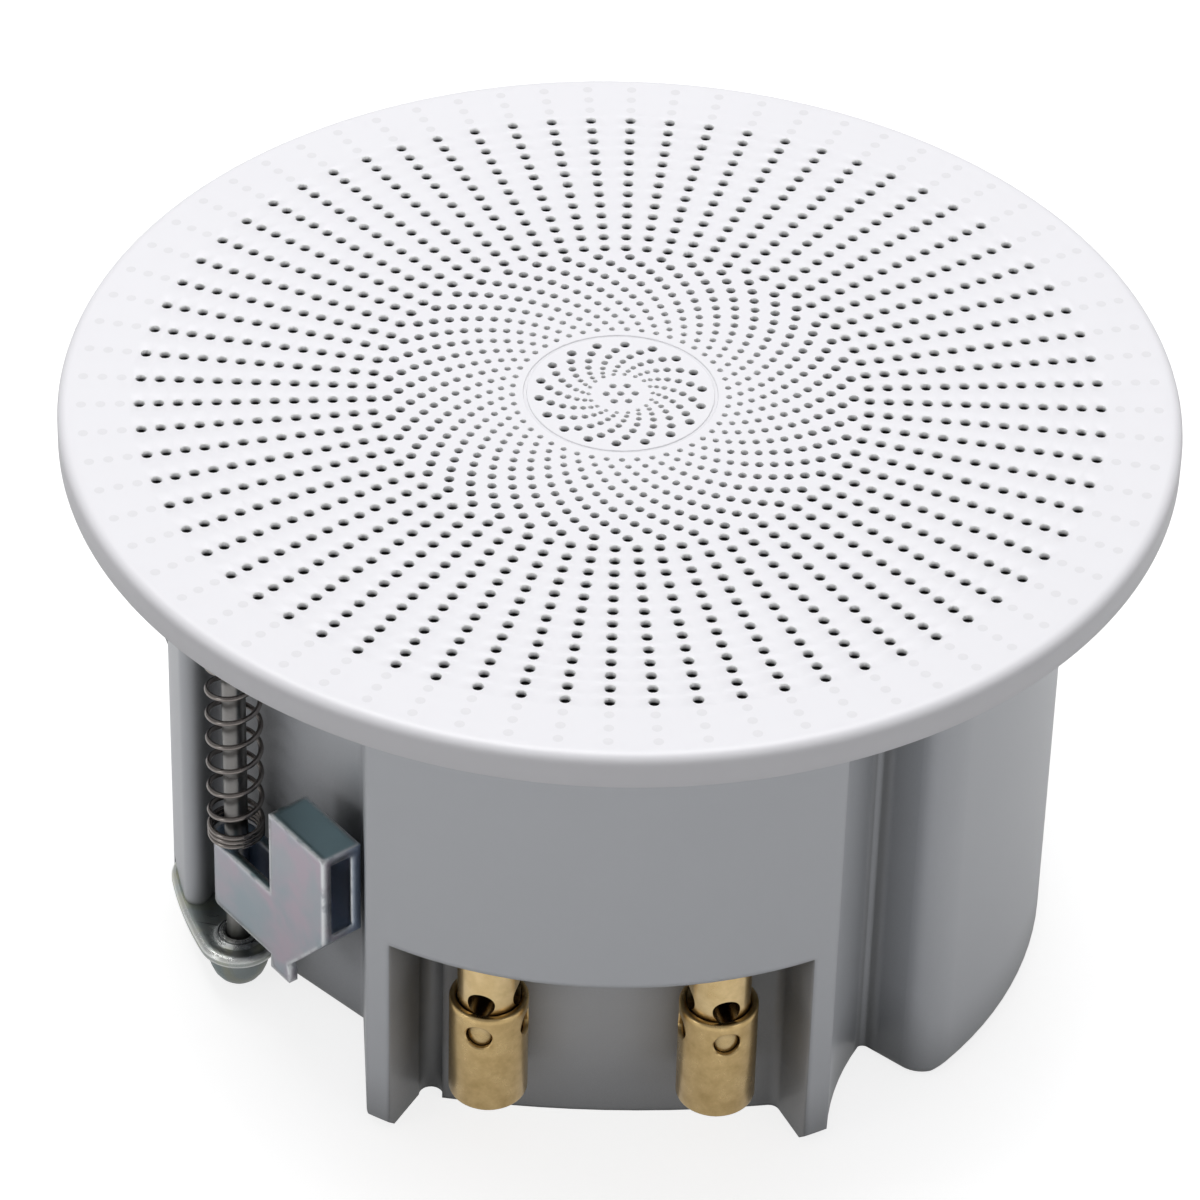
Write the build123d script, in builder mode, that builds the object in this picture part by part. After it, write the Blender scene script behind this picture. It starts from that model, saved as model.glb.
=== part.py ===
from build123d import *
import os
from math import atan, cos, degrees, radians, sin, sqrt, tan

# Recessed ceiling loudspeaker with a perforated cover, two swing-out clamps and two
# push terminals. Millimetres, +Z up. The cover lies on top, and the floor z = 0 is
# the underside of the can, below its centre.

# Overall
total_height = 68.0
rim_diameter = 120.0
rim_height = 4.0
can_diameter = 98.0
can_wall = 1.6
can_floor = 1.6
can_edge = 1.2

# Front grille
grille_plate = 1.6
skirt_wall = 2.0
rim_rounding = 1.2
ray_count = 72
ray_width = 1.15
ray_inner_radius = 26.1
ray_outer_radius = 51.9
ray_phase = -0.4
arm_count = 45
arm_inner_radius = 11.2
arm_outer_radius = 25.4
arm_inner_width = 0.65
arm_outer_width = 1.15
arm_start = 1.0
arm_sweep = 35.0
arm_runs = 3
core_count = 18
core_inner_radius = 3.3
core_outer_radius = 9.3
core_inner_width = 0.5
core_outer_width = 1.1
core_start = 4.6
core_sweep = -40.0
core_runs = 2
core_depth = 0.5

# Cloth and front frame
cloth_thickness = 0.4
cloth_lap = 2.5
snap_gap = 0.3
deck_thickness = 1.4
frame_ring_width = 4.7
boss_diameter = 8.4
boss_drop = 2.0

# Clamp pockets of the can, as azimuths on its surface and depths below it
clamp_azimuth = -153.6
clamp_turns = (0, 180)
clamp_inset = 3.8
pocket_front_azimuth = -121.1
pocket_back_azimuth = -158.5
pocket_heel_azimuth = -134.3
pocket_heel_depth = 11.2
pocket_toe_azimuth = -164.3
pocket_toe_depth = 4.3
pocket_corner = 1.2
pocket_rounding = 1.4
leg_rounding = 2.0
groove_leg_rounding = 1.2

# V groove of the can
groove_front_azimuth = -60.0
groove_back_azimuth = -43.7
groove_root_azimuth = -44.9
groove_root_depth = 8.8
groove_bow = 0.8
groove_rounding = 3.6
groove_root_rounding = 0.5

# Terminal recess of the can
recess_left_azimuth = -117.8
recess_right_azimuth = -63.2
recess_height = 27.0
recess_depth = 9.75
recess_crown = 1.65
recess_corner = 1.2
relief_radius = 1.3

# Centring rib of the can, with a tapered lower end
rib_azimuth = 179.0
rib_width = 2.0
rib_proud = 1.6
rib_foot = 31.0
rib_taper = 5.5

# Clamp screw, nut, spring and foot plate
screw_diameter = 2.6
running_gap = 0.08
end_float = 0.1
head_diameter = 6.4
head_height = 2.0
head_seat = 1.2
foot_plate_top = 7.0
foot_plate_sheet = 1.4
foot_plate_width = 9.0
foot_plate_span = 14.0
foot_burr_height = 0.6
foot_burr_wall = 0.9
foot_gap = 0.4
foot_screw_diameter = 1.8
foot_screw_grip = 4.5
foot_screw_head_diameter = 4.0
foot_screw_head_height = 1.4
foot_boss_diameter = 5.2
nut_diameter = 6.5
nut_length = 4.9
nut_skirt = 2.4
nut_tip_diameter = 3.4
clamp_spring_diameter = 6.3
clamp_spring_wire = 0.6
clamp_spring_turns = 14
coil_sides = 8
coil_gap = 0.03

# Clamp jaw, folded from sheet
jaw_azimuth = -51.0
jaw_sheet = 1.1
jaw_length = 19.5
jaw_step = 9.7
jaw_low_height = 8.9
jaw_tall_height = 20.1
jaw_clear = 4.9
jaw_toe_length = 12.4
jaw_toe_rise = 8.2
jaw_foot_start = 9.7
jaw_foot_length = 3.4
jaw_foot_height = 1.9

# Push terminals
terminal_spacing = 24.4
terminal_inset = 4.0
terminal_turn = 14.0
post_diameter = 6.8
post_length = 7.4
post_hole_diameter = 3.0
post_hole_drop = 5.25
collar_diameter = 7.3
collar_length = 4.1
stud_diameter = 2.0
stud_length = 4.4
sleeve_diameter = 8.5
sleeve_length = 13.6
sleeve_floor = 1.5
sleeve_lip = 0.8
sleeve_chamfer = 0.6
sleeve_hole_diameter = 2.9
sleeve_hole_drop = 2.75
slide_gap = 0.05
lip_gap = 0.1
terminal_spring_diameter = 5.5
terminal_spring_wire = 0.5
terminal_spring_turns = 3.5
tag_sheet = 0.5
tag_ring = 4.4
tag_width = 3.0
tag_reach = 6.5
nut_flats = 4.0
nut_height = 1.6

# Driver
basket_diameter = 62.0
basket_sheet = 1.0
basket_flange = 6.4
basket_depth = 18.8
basket_base_diameter = 29.0
motor_diameter = 25.0
motor_height = 12.0
motor_floor = 3.0
gap_diameter = 16.4
magnet_diameter = 12.4
pole_diameter = 13.2
pole_height = 3.0
former_diameter = 14.3
former_wall = 0.2
former_length = 14.5
winding_thickness = 0.45
winding_height = 6.0
cone_sheet = 0.4
cone_height = 10.0
cap_diameter = 18.0
cap_height = 2.0
cap_sheet = 0.4
surround_sheet = 0.4
surround_lip = 2.5
roll_width = 2.7
surround_rise = 1.1
spider_sheet = 0.4
spider_setback = 3.0
spider_rise = 0.8
glue_gap = 0.1
driver_screw_edge = 1.8
driver_screw_count = 4
driver_screw_diameter = 1.7
driver_screw_head = 3.4
driver_screw_head_height = 1.2
strip_length = 14.0
strip_width = 3.8
strip_sheet = 1.2
strip_setback = 0.3
lead_diameter = 1.6
lead_spread = 9.0
lead_rise = 17.0
lead_drop = 7.8
lead_bend = 8.0

# Worked out from the sizes above
rim_radius = rim_diameter / 2
can_radius = can_diameter / 2
cavity_radius = can_radius - can_wall
flange_under = total_height - rim_height
grille_under = total_height - grille_plate
cloth_under = grille_under - cloth_thickness
frame_radius = rim_radius - skirt_wall - snap_gap
deck_top = flange_under + deck_thickness
boss_under = flange_under - boss_drop
clamp_radius = can_radius - clamp_inset
screw_radius = screw_diameter / 2
screw_hole = screw_radius + running_gap
beyond_can = can_radius + can_wall * 4
foot_plate_under = foot_plate_top - foot_plate_sheet
jaw_bottom = foot_plate_top + foot_burr_height + jaw_clear
jaw_low_top = jaw_bottom + jaw_low_height
terminal_radius = can_radius - terminal_inset
terminal_x = terminal_spacing / 2
terminal_y = -sqrt(terminal_radius**2 - terminal_x**2)
recess_roof_top = recess_height + can_wall
collar_top = recess_height - post_length
collar_under = collar_top - collar_length
sleeve_top = collar_top + lip_gap + sleeve_lip
sleeve_under = sleeve_top - sleeve_length
sleeve_floor_top = sleeve_under + sleeve_floor
basket_under = flange_under - basket_depth
former_radius = former_diameter / 2
throat_radius = basket_diameter / 2 - basket_flange
mouth_radius = throat_radius + surround_lip + snap_gap
cone_radius = throat_radius - roll_width
driver_screw_radius = basket_diameter / 2 - driver_screw_edge


def polar(radius, azimuth):
    """Plan point at a radius and an azimuth in degrees."""
    return (radius * cos(radians(azimuth)), radius * sin(radians(azimuth)))


def curved_slot(inner_radius, outer_radius, inner_width, outer_width, start, sweep, runs):
    """Corners of a slot that widens and turns by sweep degrees on its way outwards."""
    left = []
    right = []
    for step in range(runs + 1):
        share = step / runs
        radius = inner_radius + (outer_radius - inner_radius) * share
        width = inner_width + (outer_width - inner_width) * share
        slant = atan(radius * radians(sweep) / (outer_radius - inner_radius))
        half_turn = degrees(width / (2 * radius * cos(slant)))
        azimuth = start + sweep * share
        left.append(polar(radius, azimuth + half_turn))
        right.insert(0, polar(radius, azimuth - half_turn))
    return left + right


def upright(x, y):
    """Vertical drawing plane through an axis: sketch x is the radius, sketch y is the height."""
    return Plane(origin=(x, y, 0), x_dir=(1, 0, 0), z_dir=(0, -1, 0))


def coil_plane(x, y, radius, turn, height):
    """Plane across the wire of a coil after some turns round the axis at x, y."""
    angle = radians(turn * 360)
    return Plane(
        origin=(x + radius * cos(angle), y + radius * sin(angle), height),
        x_dir=(cos(angle), sin(angle), 0),
        z_dir=(-sin(angle), cos(angle), 0),
    )


def coil_height(turn, turns, wire, bottom, top):
    """Height of the wire's middle: one closed turn at each end, an even pitch between."""
    low = bottom + wire / 2
    high = top - wire / 2
    closed_turn = wire + coil_gap
    pitch = (high - low - 2 * closed_turn) / (turns - 2)
    if turn <= 1:
        return low + closed_turn * turn
    if turn >= turns - 1:
        return high - closed_turn * (turns - turn)
    return low + closed_turn + pitch * (turn - 1)


# Front grille: one moulded cover, a plate with a short skirt. Rows of its perforation are
# slots: straight rays outside, spiral arms inside them and blind grooves at the core.
with BuildPart() as front_grille:
    with BuildSketch(Plane.XZ):
        with BuildLine():
            Polyline(
                (0, grille_under),
                (0, total_height),
                (rim_radius, total_height),
                (rim_radius, flange_under),
                (rim_radius - skirt_wall, flange_under),
                (rim_radius - skirt_wall, grille_under),
                close=True,
            )
        section = make_face()
        fillet(section.vertices().sort_by_distance((rim_radius, total_height))[0], rim_rounding)
    revolve(axis=Axis.Z)
    with BuildSketch(Plane.XY.offset(total_height)):
        with PolarLocations((ray_inner_radius + ray_outer_radius) / 2, ray_count, ray_phase):
            Rectangle(ray_outer_radius - ray_inner_radius, ray_width)
    extrude(amount=-grille_plate, mode=Mode.SUBTRACT)
    with BuildSketch(Plane.XY.offset(total_height)):
        with PolarLocations(0, arm_count):
            Polygon(
                *curved_slot(
                    arm_inner_radius,
                    arm_outer_radius,
                    arm_inner_width,
                    arm_outer_width,
                    arm_start,
                    arm_sweep,
                    arm_runs,
                ),
                align=None,
            )
    extrude(amount=-grille_plate, mode=Mode.SUBTRACT)
    with BuildSketch(Plane.XY.offset(total_height)):
        with PolarLocations(0, core_count):
            Polygon(
                *curved_slot(
                    core_inner_radius,
                    core_outer_radius,
                    core_inner_width,
                    core_outer_width,
                    core_start,
                    core_sweep,
                    core_runs,
                ),
                align=None,
            )
    extrude(amount=-core_depth, mode=Mode.SUBTRACT)
front_grille.part.label = "front_grille"
export_step(front_grille.part, "parts/front_grille.step")

# Scrim cloth: held flat between the grille and the frame's outer ring.
with BuildPart() as scrim_cloth:
    with BuildSketch(Plane.XY.offset(cloth_under)):
        Circle(frame_radius - frame_ring_width + cloth_lap)
    extrude(amount=cloth_thickness)
scrim_cloth.part.label = "scrim_cloth"
export_step(scrim_cloth.part, "parts/scrim_cloth.step")

# Front frame: flange ring and deck in one moulding, with a sunk boss for each clamp screw.
clamp_axes = [polar(clamp_radius, clamp_azimuth + turn) for turn in clamp_turns]
with BuildPart() as front_frame:
    with BuildSketch(Plane.XY.offset(flange_under)):
        Circle(frame_radius)
        Circle(mouth_radius, mode=Mode.SUBTRACT)
    extrude(amount=deck_thickness)
    with BuildSketch(Plane.XY.offset(deck_top)):
        Circle(frame_radius)
        Circle(frame_radius - frame_ring_width, mode=Mode.SUBTRACT)
    extrude(amount=cloth_under - deck_top)
    with BuildSketch(Plane.XY.offset(boss_under)):
        with Locations(*clamp_axes):
            Circle(boss_diameter / 2)
    extrude(amount=boss_drop)
    with Locations(*[(x, y, deck_top) for x, y in clamp_axes]):
        CounterBoreHole(
            radius=screw_hole,
            counter_bore_radius=head_diameter / 2 + snap_gap,
            counter_bore_depth=boss_drop + deck_thickness - head_seat,
        )
    with BuildSketch(Plane.XY.offset(flange_under)):
        with PolarLocations(driver_screw_radius, driver_screw_count, 360 / driver_screw_count / 2):
            Circle(driver_screw_diameter / 2 + slide_gap)
    extrude(amount=deck_thickness, mode=Mode.SUBTRACT)
front_frame.part.label = "front_frame"
export_step(front_frame.part, "parts/front_frame.step")

# Plan shapes cut into the can. Each is kept as a sketch, so that the inside of the can can
# follow it one wall further in.
with BuildSketch() as clamp_pocket:
    with BuildLine():
        Polyline(
            polar(can_radius - pocket_heel_depth, pocket_heel_azimuth),
            polar(can_radius - pocket_toe_depth, pocket_toe_azimuth),
            polar(can_radius, pocket_back_azimuth),
            polar(beyond_can, pocket_back_azimuth),
            polar(beyond_can, (pocket_back_azimuth + pocket_front_azimuth) / 2),
            polar(beyond_can, pocket_front_azimuth),
            polar(can_radius, pocket_front_azimuth),
            close=True,
        )
    make_face()
    heel = polar(can_radius - pocket_heel_depth, pocket_heel_azimuth)
    fillet(clamp_pocket.vertices().sort_by_distance(heel)[0], pocket_corner)
    toe = polar(can_radius - pocket_toe_depth, pocket_toe_azimuth)
    fillet(clamp_pocket.vertices().sort_by_distance(toe)[0], pocket_corner)

groove_front = Vector(*polar(can_radius, groove_front_azimuth))
groove_root = Vector(*polar(can_radius - groove_root_depth, groove_root_azimuth))
groove_back = Vector(*polar(can_radius, groove_back_azimuth))
groove_side = (groove_front - groove_root).normalized()
groove_middle = (groove_front + groove_root) / 2 + groove_side.rotate(Axis.Z, -90) * groove_bow
with BuildSketch() as v_groove:
    with BuildLine():
        ThreePointArc(groove_front, groove_middle, groove_root)
        Polyline(
            groove_root,
            groove_back,
            polar(beyond_can, groove_back_azimuth),
            polar(beyond_can, groove_front_azimuth),
            groove_front,
        )
    make_face()
    fillet(v_groove.vertices().sort_by_distance(groove_root)[0], groove_root_rounding)

recess_back_y = -(can_radius - recess_depth)
recess_corner_y = recess_back_y + recess_crown
recess_left = Vector(recess_corner_y / tan(radians(recess_left_azimuth)), recess_corner_y)
recess_right = Vector(recess_corner_y / tan(radians(recess_right_azimuth)), recess_corner_y)
with BuildSketch() as terminal_recess:
    with BuildLine():
        ThreePointArc(recess_left, (0, recess_back_y), recess_right)
        Polyline(
            recess_right,
            polar(beyond_can, recess_right_azimuth),
            (0, -beyond_can),
            polar(beyond_can, recess_left_azimuth),
            recess_left,
        )
    make_face()
    fillet(terminal_recess.vertices().sort_by_distance(recess_right)[0], recess_corner)
    with Locations(recess_left + Vector(relief_radius, 0)):
        Circle(relief_radius)

with BuildSketch() as foot_notch:
    notch_middle = CenterArc((0, 0), clamp_radius, clamp_azimuth, -foot_plate_span, mode=Mode.PRIVATE)
    SlotArc(arc=notch_middle, height=foot_plate_width + 2 * foot_gap)

with BuildSketch() as pocket_wall:
    add(clamp_pocket.sketch)
    offset(amount=can_wall)

with BuildSketch() as groove_wall:
    add(v_groove.sketch)
    offset(amount=can_wall)

with BuildSketch() as recess_wall:
    add(terminal_recess.sketch)
    offset(amount=can_wall)

with BuildSketch() as notch_wall:
    add(foot_notch.sketch)
    offset(amount=can_wall)

with BuildSketch() as cavity_plan:
    Circle(cavity_radius)
    for turn in clamp_turns:
        add(pocket_wall.sketch.rotate(Axis.Z, turn), mode=Mode.SUBTRACT)
    add(groove_wall.sketch, mode=Mode.SUBTRACT)

# Rear can: one grey moulding, open at the top, with its walls carried round every recess.
foot_screw_azimuth = clamp_azimuth - foot_plate_span
notch_roof_top = foot_plate_top + can_wall
with BuildPart() as rear_can:
    with BuildSketch() as can_plan:
        Circle(can_radius)
        for turn in clamp_turns:
            add(clamp_pocket.sketch.rotate(Axis.Z, turn), mode=Mode.SUBTRACT)
        add(v_groove.sketch, mode=Mode.SUBTRACT)
        for turn in clamp_turns:
            strip = polar(can_radius, pocket_back_azimuth + turn)
            fillet(can_plan.vertices().sort_by_distance(strip)[0], pocket_rounding)
        fillet(can_plan.vertices().sort_by_distance(groove_back)[0], groove_rounding)
    extrude(amount=flange_under)
    with BuildSketch():
        add(terminal_recess.sketch)
    extrude(amount=recess_height, mode=Mode.SUBTRACT)
    with BuildSketch():
        for turn in clamp_turns:
            add(foot_notch.sketch.rotate(Axis.Z, turn))
    extrude(amount=foot_plate_top, mode=Mode.SUBTRACT)
    for turn in clamp_turns:
        leg_x, leg_y = polar(can_radius, pocket_front_azimuth + turn)
        leg_edges = rear_can.edges().filter_by_position(Axis.Z, 0, 0).filter_by(GeomType.LINE)
        fillet(leg_edges.sort_by_distance((leg_x, leg_y, 0))[0], leg_rounding)
    groove_edges = rear_can.edges().filter_by_position(Axis.Z, 0, 0)
    fillet(groove_edges.sort_by_distance(groove_middle)[0], groove_leg_rounding)
    with BuildSketch(Plane.XZ):
        with BuildLine():
            Polyline(
                (can_radius - can_edge, 0),
                (can_radius, can_edge),
                (beyond_can, can_edge),
                (beyond_can, 0),
                close=True,
            )
        make_face()
    revolve(axis=Axis.Z, mode=Mode.SUBTRACT)
    with BuildSketch(Plane.XY.offset(recess_roof_top)):
        add(cavity_plan.sketch)
    extrude(amount=flange_under - recess_roof_top, mode=Mode.SUBTRACT)
    with BuildSketch(Plane.XY.offset(notch_roof_top)):
        add(cavity_plan.sketch)
        add(recess_wall.sketch, mode=Mode.SUBTRACT)
    extrude(amount=recess_roof_top - notch_roof_top, mode=Mode.SUBTRACT)
    with BuildSketch(Plane.XY.offset(can_floor)):
        add(cavity_plan.sketch)
        add(recess_wall.sketch, mode=Mode.SUBTRACT)
        for turn in clamp_turns:
            add(notch_wall.sketch.rotate(Axis.Z, turn), mode=Mode.SUBTRACT)
    extrude(amount=notch_roof_top - can_floor, mode=Mode.SUBTRACT)
    foot_screw_axes = [polar(clamp_radius, foot_screw_azimuth + turn) for turn in clamp_turns]
    with BuildSketch(Plane.XY.offset(foot_plate_top)):
        with Locations(*foot_screw_axes):
            Circle(foot_boss_diameter / 2)
    extrude(amount=foot_screw_grip + can_wall)
    with BuildSketch(Plane.XY.offset(foot_plate_top)):
        with Locations(*foot_screw_axes):
            Circle(foot_screw_diameter / 2 + slide_gap)
    extrude(amount=foot_screw_grip + end_float, mode=Mode.SUBTRACT)
    with BuildSketch(Plane.XY.offset(recess_height)):
        with Locations((-terminal_x, terminal_y), (terminal_x, terminal_y)):
            Circle(stud_diameter / 2 + slide_gap)
    extrude(amount=can_wall, mode=Mode.SUBTRACT)
    rib_plane = Plane(
        origin=(0, 0, flange_under),
        x_dir=(cos(radians(rib_azimuth)), sin(radians(rib_azimuth)), 0),
        z_dir=(sin(radians(rib_azimuth)), -cos(radians(rib_azimuth)), 0),
    )
    with BuildSketch(rib_plane):
        Polygon(
            (can_radius - can_wall / 2, 0),
            (can_radius + rib_proud, 0),
            (can_radius + rib_proud, rib_foot + rib_taper - flange_under),
            (can_radius, rib_foot - flange_under),
            (can_radius - can_wall / 2, rib_foot - flange_under),
            align=None,
        )
    extrude(amount=rib_width / 2, both=True)
rear_can.part.label = "rear_can"
export_step(rear_can.part, "parts/rear_can.step")

# Two clamps, half a turn apart: screw, domed nut, spring, folded jaw and foot plate.
clamp_spring_bottom = jaw_low_top + slide_gap
clamp_spring_top = boss_under - slide_gap
clamp_coil_radius = (clamp_spring_diameter - clamp_spring_wire) / 2
head_under = boss_under + head_seat + end_float
nut_top = foot_plate_under - end_float
for side, turn in zip(("left", "right"), clamp_turns):
    axis_x, axis_y = polar(clamp_radius, clamp_azimuth + turn)
    clamp_axis = Axis((axis_x, axis_y, 0), (0, 0, 1))

    with BuildPart() as clamp_screw:
        with BuildSketch(Plane.XY.offset(head_under)):
            with Locations((axis_x, axis_y)):
                Circle(head_diameter / 2)
        extrude(amount=head_height)
        screw_bottom = nut_top - nut_length + nut_tip_diameter / 2
        with BuildSketch(Plane.XY.offset(screw_bottom)):
            with Locations((axis_x, axis_y)):
                Circle(screw_radius)
        extrude(amount=head_under - screw_bottom)
    clamp_screw.part.label = f"clamp_screw_{side}"
    export_step(clamp_screw.part, f"parts/clamp_screw_{side}.step")

    with BuildPart() as clamp_nut:
        with BuildSketch(upright(axis_x, axis_y)):
            with BuildLine():
                Polyline(
                    (0, screw_bottom),
                    (screw_radius + slide_gap, screw_bottom),
                    (screw_radius + slide_gap, nut_top),
                    (nut_diameter / 2, nut_top),
                    (nut_diameter / 2, nut_top - nut_skirt),
                    (nut_tip_diameter / 2, nut_top - nut_length),
                    (0, nut_top - nut_length),
                    close=True,
                )
            make_face()
        revolve(axis=clamp_axis)
    clamp_nut.part.label = f"clamp_nut_{side}"
    export_step(clamp_nut.part, f"parts/clamp_nut_{side}.step")

    with BuildPart() as clamp_spring:
        for step in range(clamp_spring_turns * coil_sides + 1):
            turns_made = step / coil_sides
            height = coil_height(
                turns_made, clamp_spring_turns, clamp_spring_wire, clamp_spring_bottom, clamp_spring_top
            )
            with BuildSketch(coil_plane(axis_x, axis_y, clamp_coil_radius, turns_made, height)):
                Rectangle(clamp_spring_wire, clamp_spring_wire)
        loft(ruled=True)
    clamp_spring.part.label = f"clamp_spring_{side}"
    export_step(clamp_spring.part, f"parts/clamp_spring_{side}.step")

    with BuildPart() as foot_plate:
        with BuildSketch(Plane.XY.offset(foot_plate_under)):
            plate_start = clamp_azimuth + turn
            plate_middle = CenterArc((0, 0), clamp_radius, plate_start, -foot_plate_span, mode=Mode.PRIVATE)
            SlotArc(arc=plate_middle, height=foot_plate_width)
        extrude(amount=foot_plate_sheet)
        with BuildSketch(Plane.XY.offset(foot_plate_top)):
            with Locations((axis_x, axis_y)):
                Circle(screw_hole + foot_burr_wall)
        extrude(amount=foot_burr_height)
        with BuildSketch(Plane.XY.offset(foot_plate_under)):
            with Locations((axis_x, axis_y)):
                Circle(screw_hole)
        extrude(amount=foot_plate_sheet + foot_burr_height, mode=Mode.SUBTRACT)
        with BuildSketch(Plane.XY.offset(foot_plate_under)):
            with Locations(polar(clamp_radius, foot_screw_azimuth + turn)):
                Circle(foot_screw_diameter / 2 + slide_gap)
        extrude(amount=foot_plate_sheet, mode=Mode.SUBTRACT)
    foot_plate.part.label = f"foot_plate_{side}"
    export_step(foot_plate.part, f"parts/foot_plate_{side}.step")

    # The jaw's sheet runs round the screw in one bend, and both cheeks point along local x.
    jaw_x = polar(1, jaw_azimuth + turn)
    jaw_plan = Plane(origin=(axis_x, axis_y, jaw_bottom), x_dir=(*jaw_x, 0), z_dir=(0, 0, 1))
    jaw_side = Plane(origin=(axis_x, axis_y, jaw_bottom), x_dir=(*jaw_x, 0), z_dir=(jaw_x[1], -jaw_x[0], 0))
    jaw_inside = screw_hole
    jaw_outside = jaw_inside + jaw_sheet
    with BuildPart() as clamp_jaw:
        with BuildSketch(jaw_plan):
            Circle(jaw_outside)
            Rectangle(jaw_length, 2 * jaw_outside, align=(Align.MIN, Align.CENTER))
            Circle(jaw_inside, mode=Mode.SUBTRACT)
            Rectangle(
                jaw_length, 2 * jaw_inside, align=(Align.MIN, Align.CENTER), mode=Mode.SUBTRACT
            )
        extrude(amount=jaw_tall_height)
        with BuildSketch(jaw_side):
            Polygon(
                (jaw_step, jaw_low_height),
                (jaw_step, jaw_tall_height),
                (-jaw_outside, jaw_tall_height),
                (-jaw_outside, jaw_low_height),
                align=None,
            )
            Polygon(
                (jaw_toe_length, 0),
                (jaw_length, 0),
                (jaw_length, jaw_toe_rise),
                align=None,
            )
        extrude(amount=jaw_outside, both=True, mode=Mode.SUBTRACT)
        with BuildSketch(jaw_side):
            Polygon(
                (jaw_step, jaw_tall_height - jaw_sheet),
                (jaw_length, jaw_tall_height - jaw_sheet),
                (jaw_length, jaw_tall_height),
                (jaw_step, jaw_tall_height),
                align=None,
            )
            Polygon(
                (jaw_toe_length, 0),
                (jaw_length, jaw_toe_rise),
                (jaw_length, jaw_toe_rise + jaw_sheet),
                (jaw_toe_length - jaw_sheet, 0),
                align=None,
            )
        extrude(amount=jaw_inside, both=True)
        with BuildSketch(jaw_side.offset(jaw_inside)):
            Polygon(
                (jaw_foot_start, 0),
                (jaw_foot_start, -jaw_foot_height),
                (jaw_foot_start + jaw_foot_length, -jaw_foot_height),
                (jaw_foot_start + jaw_foot_length, 0),
                (jaw_toe_length, jaw_sheet),
                (jaw_foot_start, jaw_sheet),
                align=None,
            )
        extrude(amount=jaw_sheet)
    clamp_jaw.part.label = f"clamp_jaw_{side}"
    export_step(clamp_jaw.part, f"parts/clamp_jaw_{side}.step")

# Screws that hold the foot plates from below.
with BuildPart() as foot_plate_screws:
    with BuildSketch(Plane.XY.offset(foot_plate_under - foot_screw_head_height)):
        with Locations(*foot_screw_axes):
            Circle(foot_screw_head_diameter / 2)
    extrude(amount=foot_screw_head_height)
    with BuildSketch(Plane.XY.offset(foot_plate_under)):
        with Locations(*foot_screw_axes):
            Circle(foot_screw_diameter / 2)
    extrude(amount=foot_plate_sheet + foot_screw_grip)
foot_plate_screws.part.label = "foot_plate_screws"
export_step(foot_plate_screws.part, "parts/foot_plate_screws.step")

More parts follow.
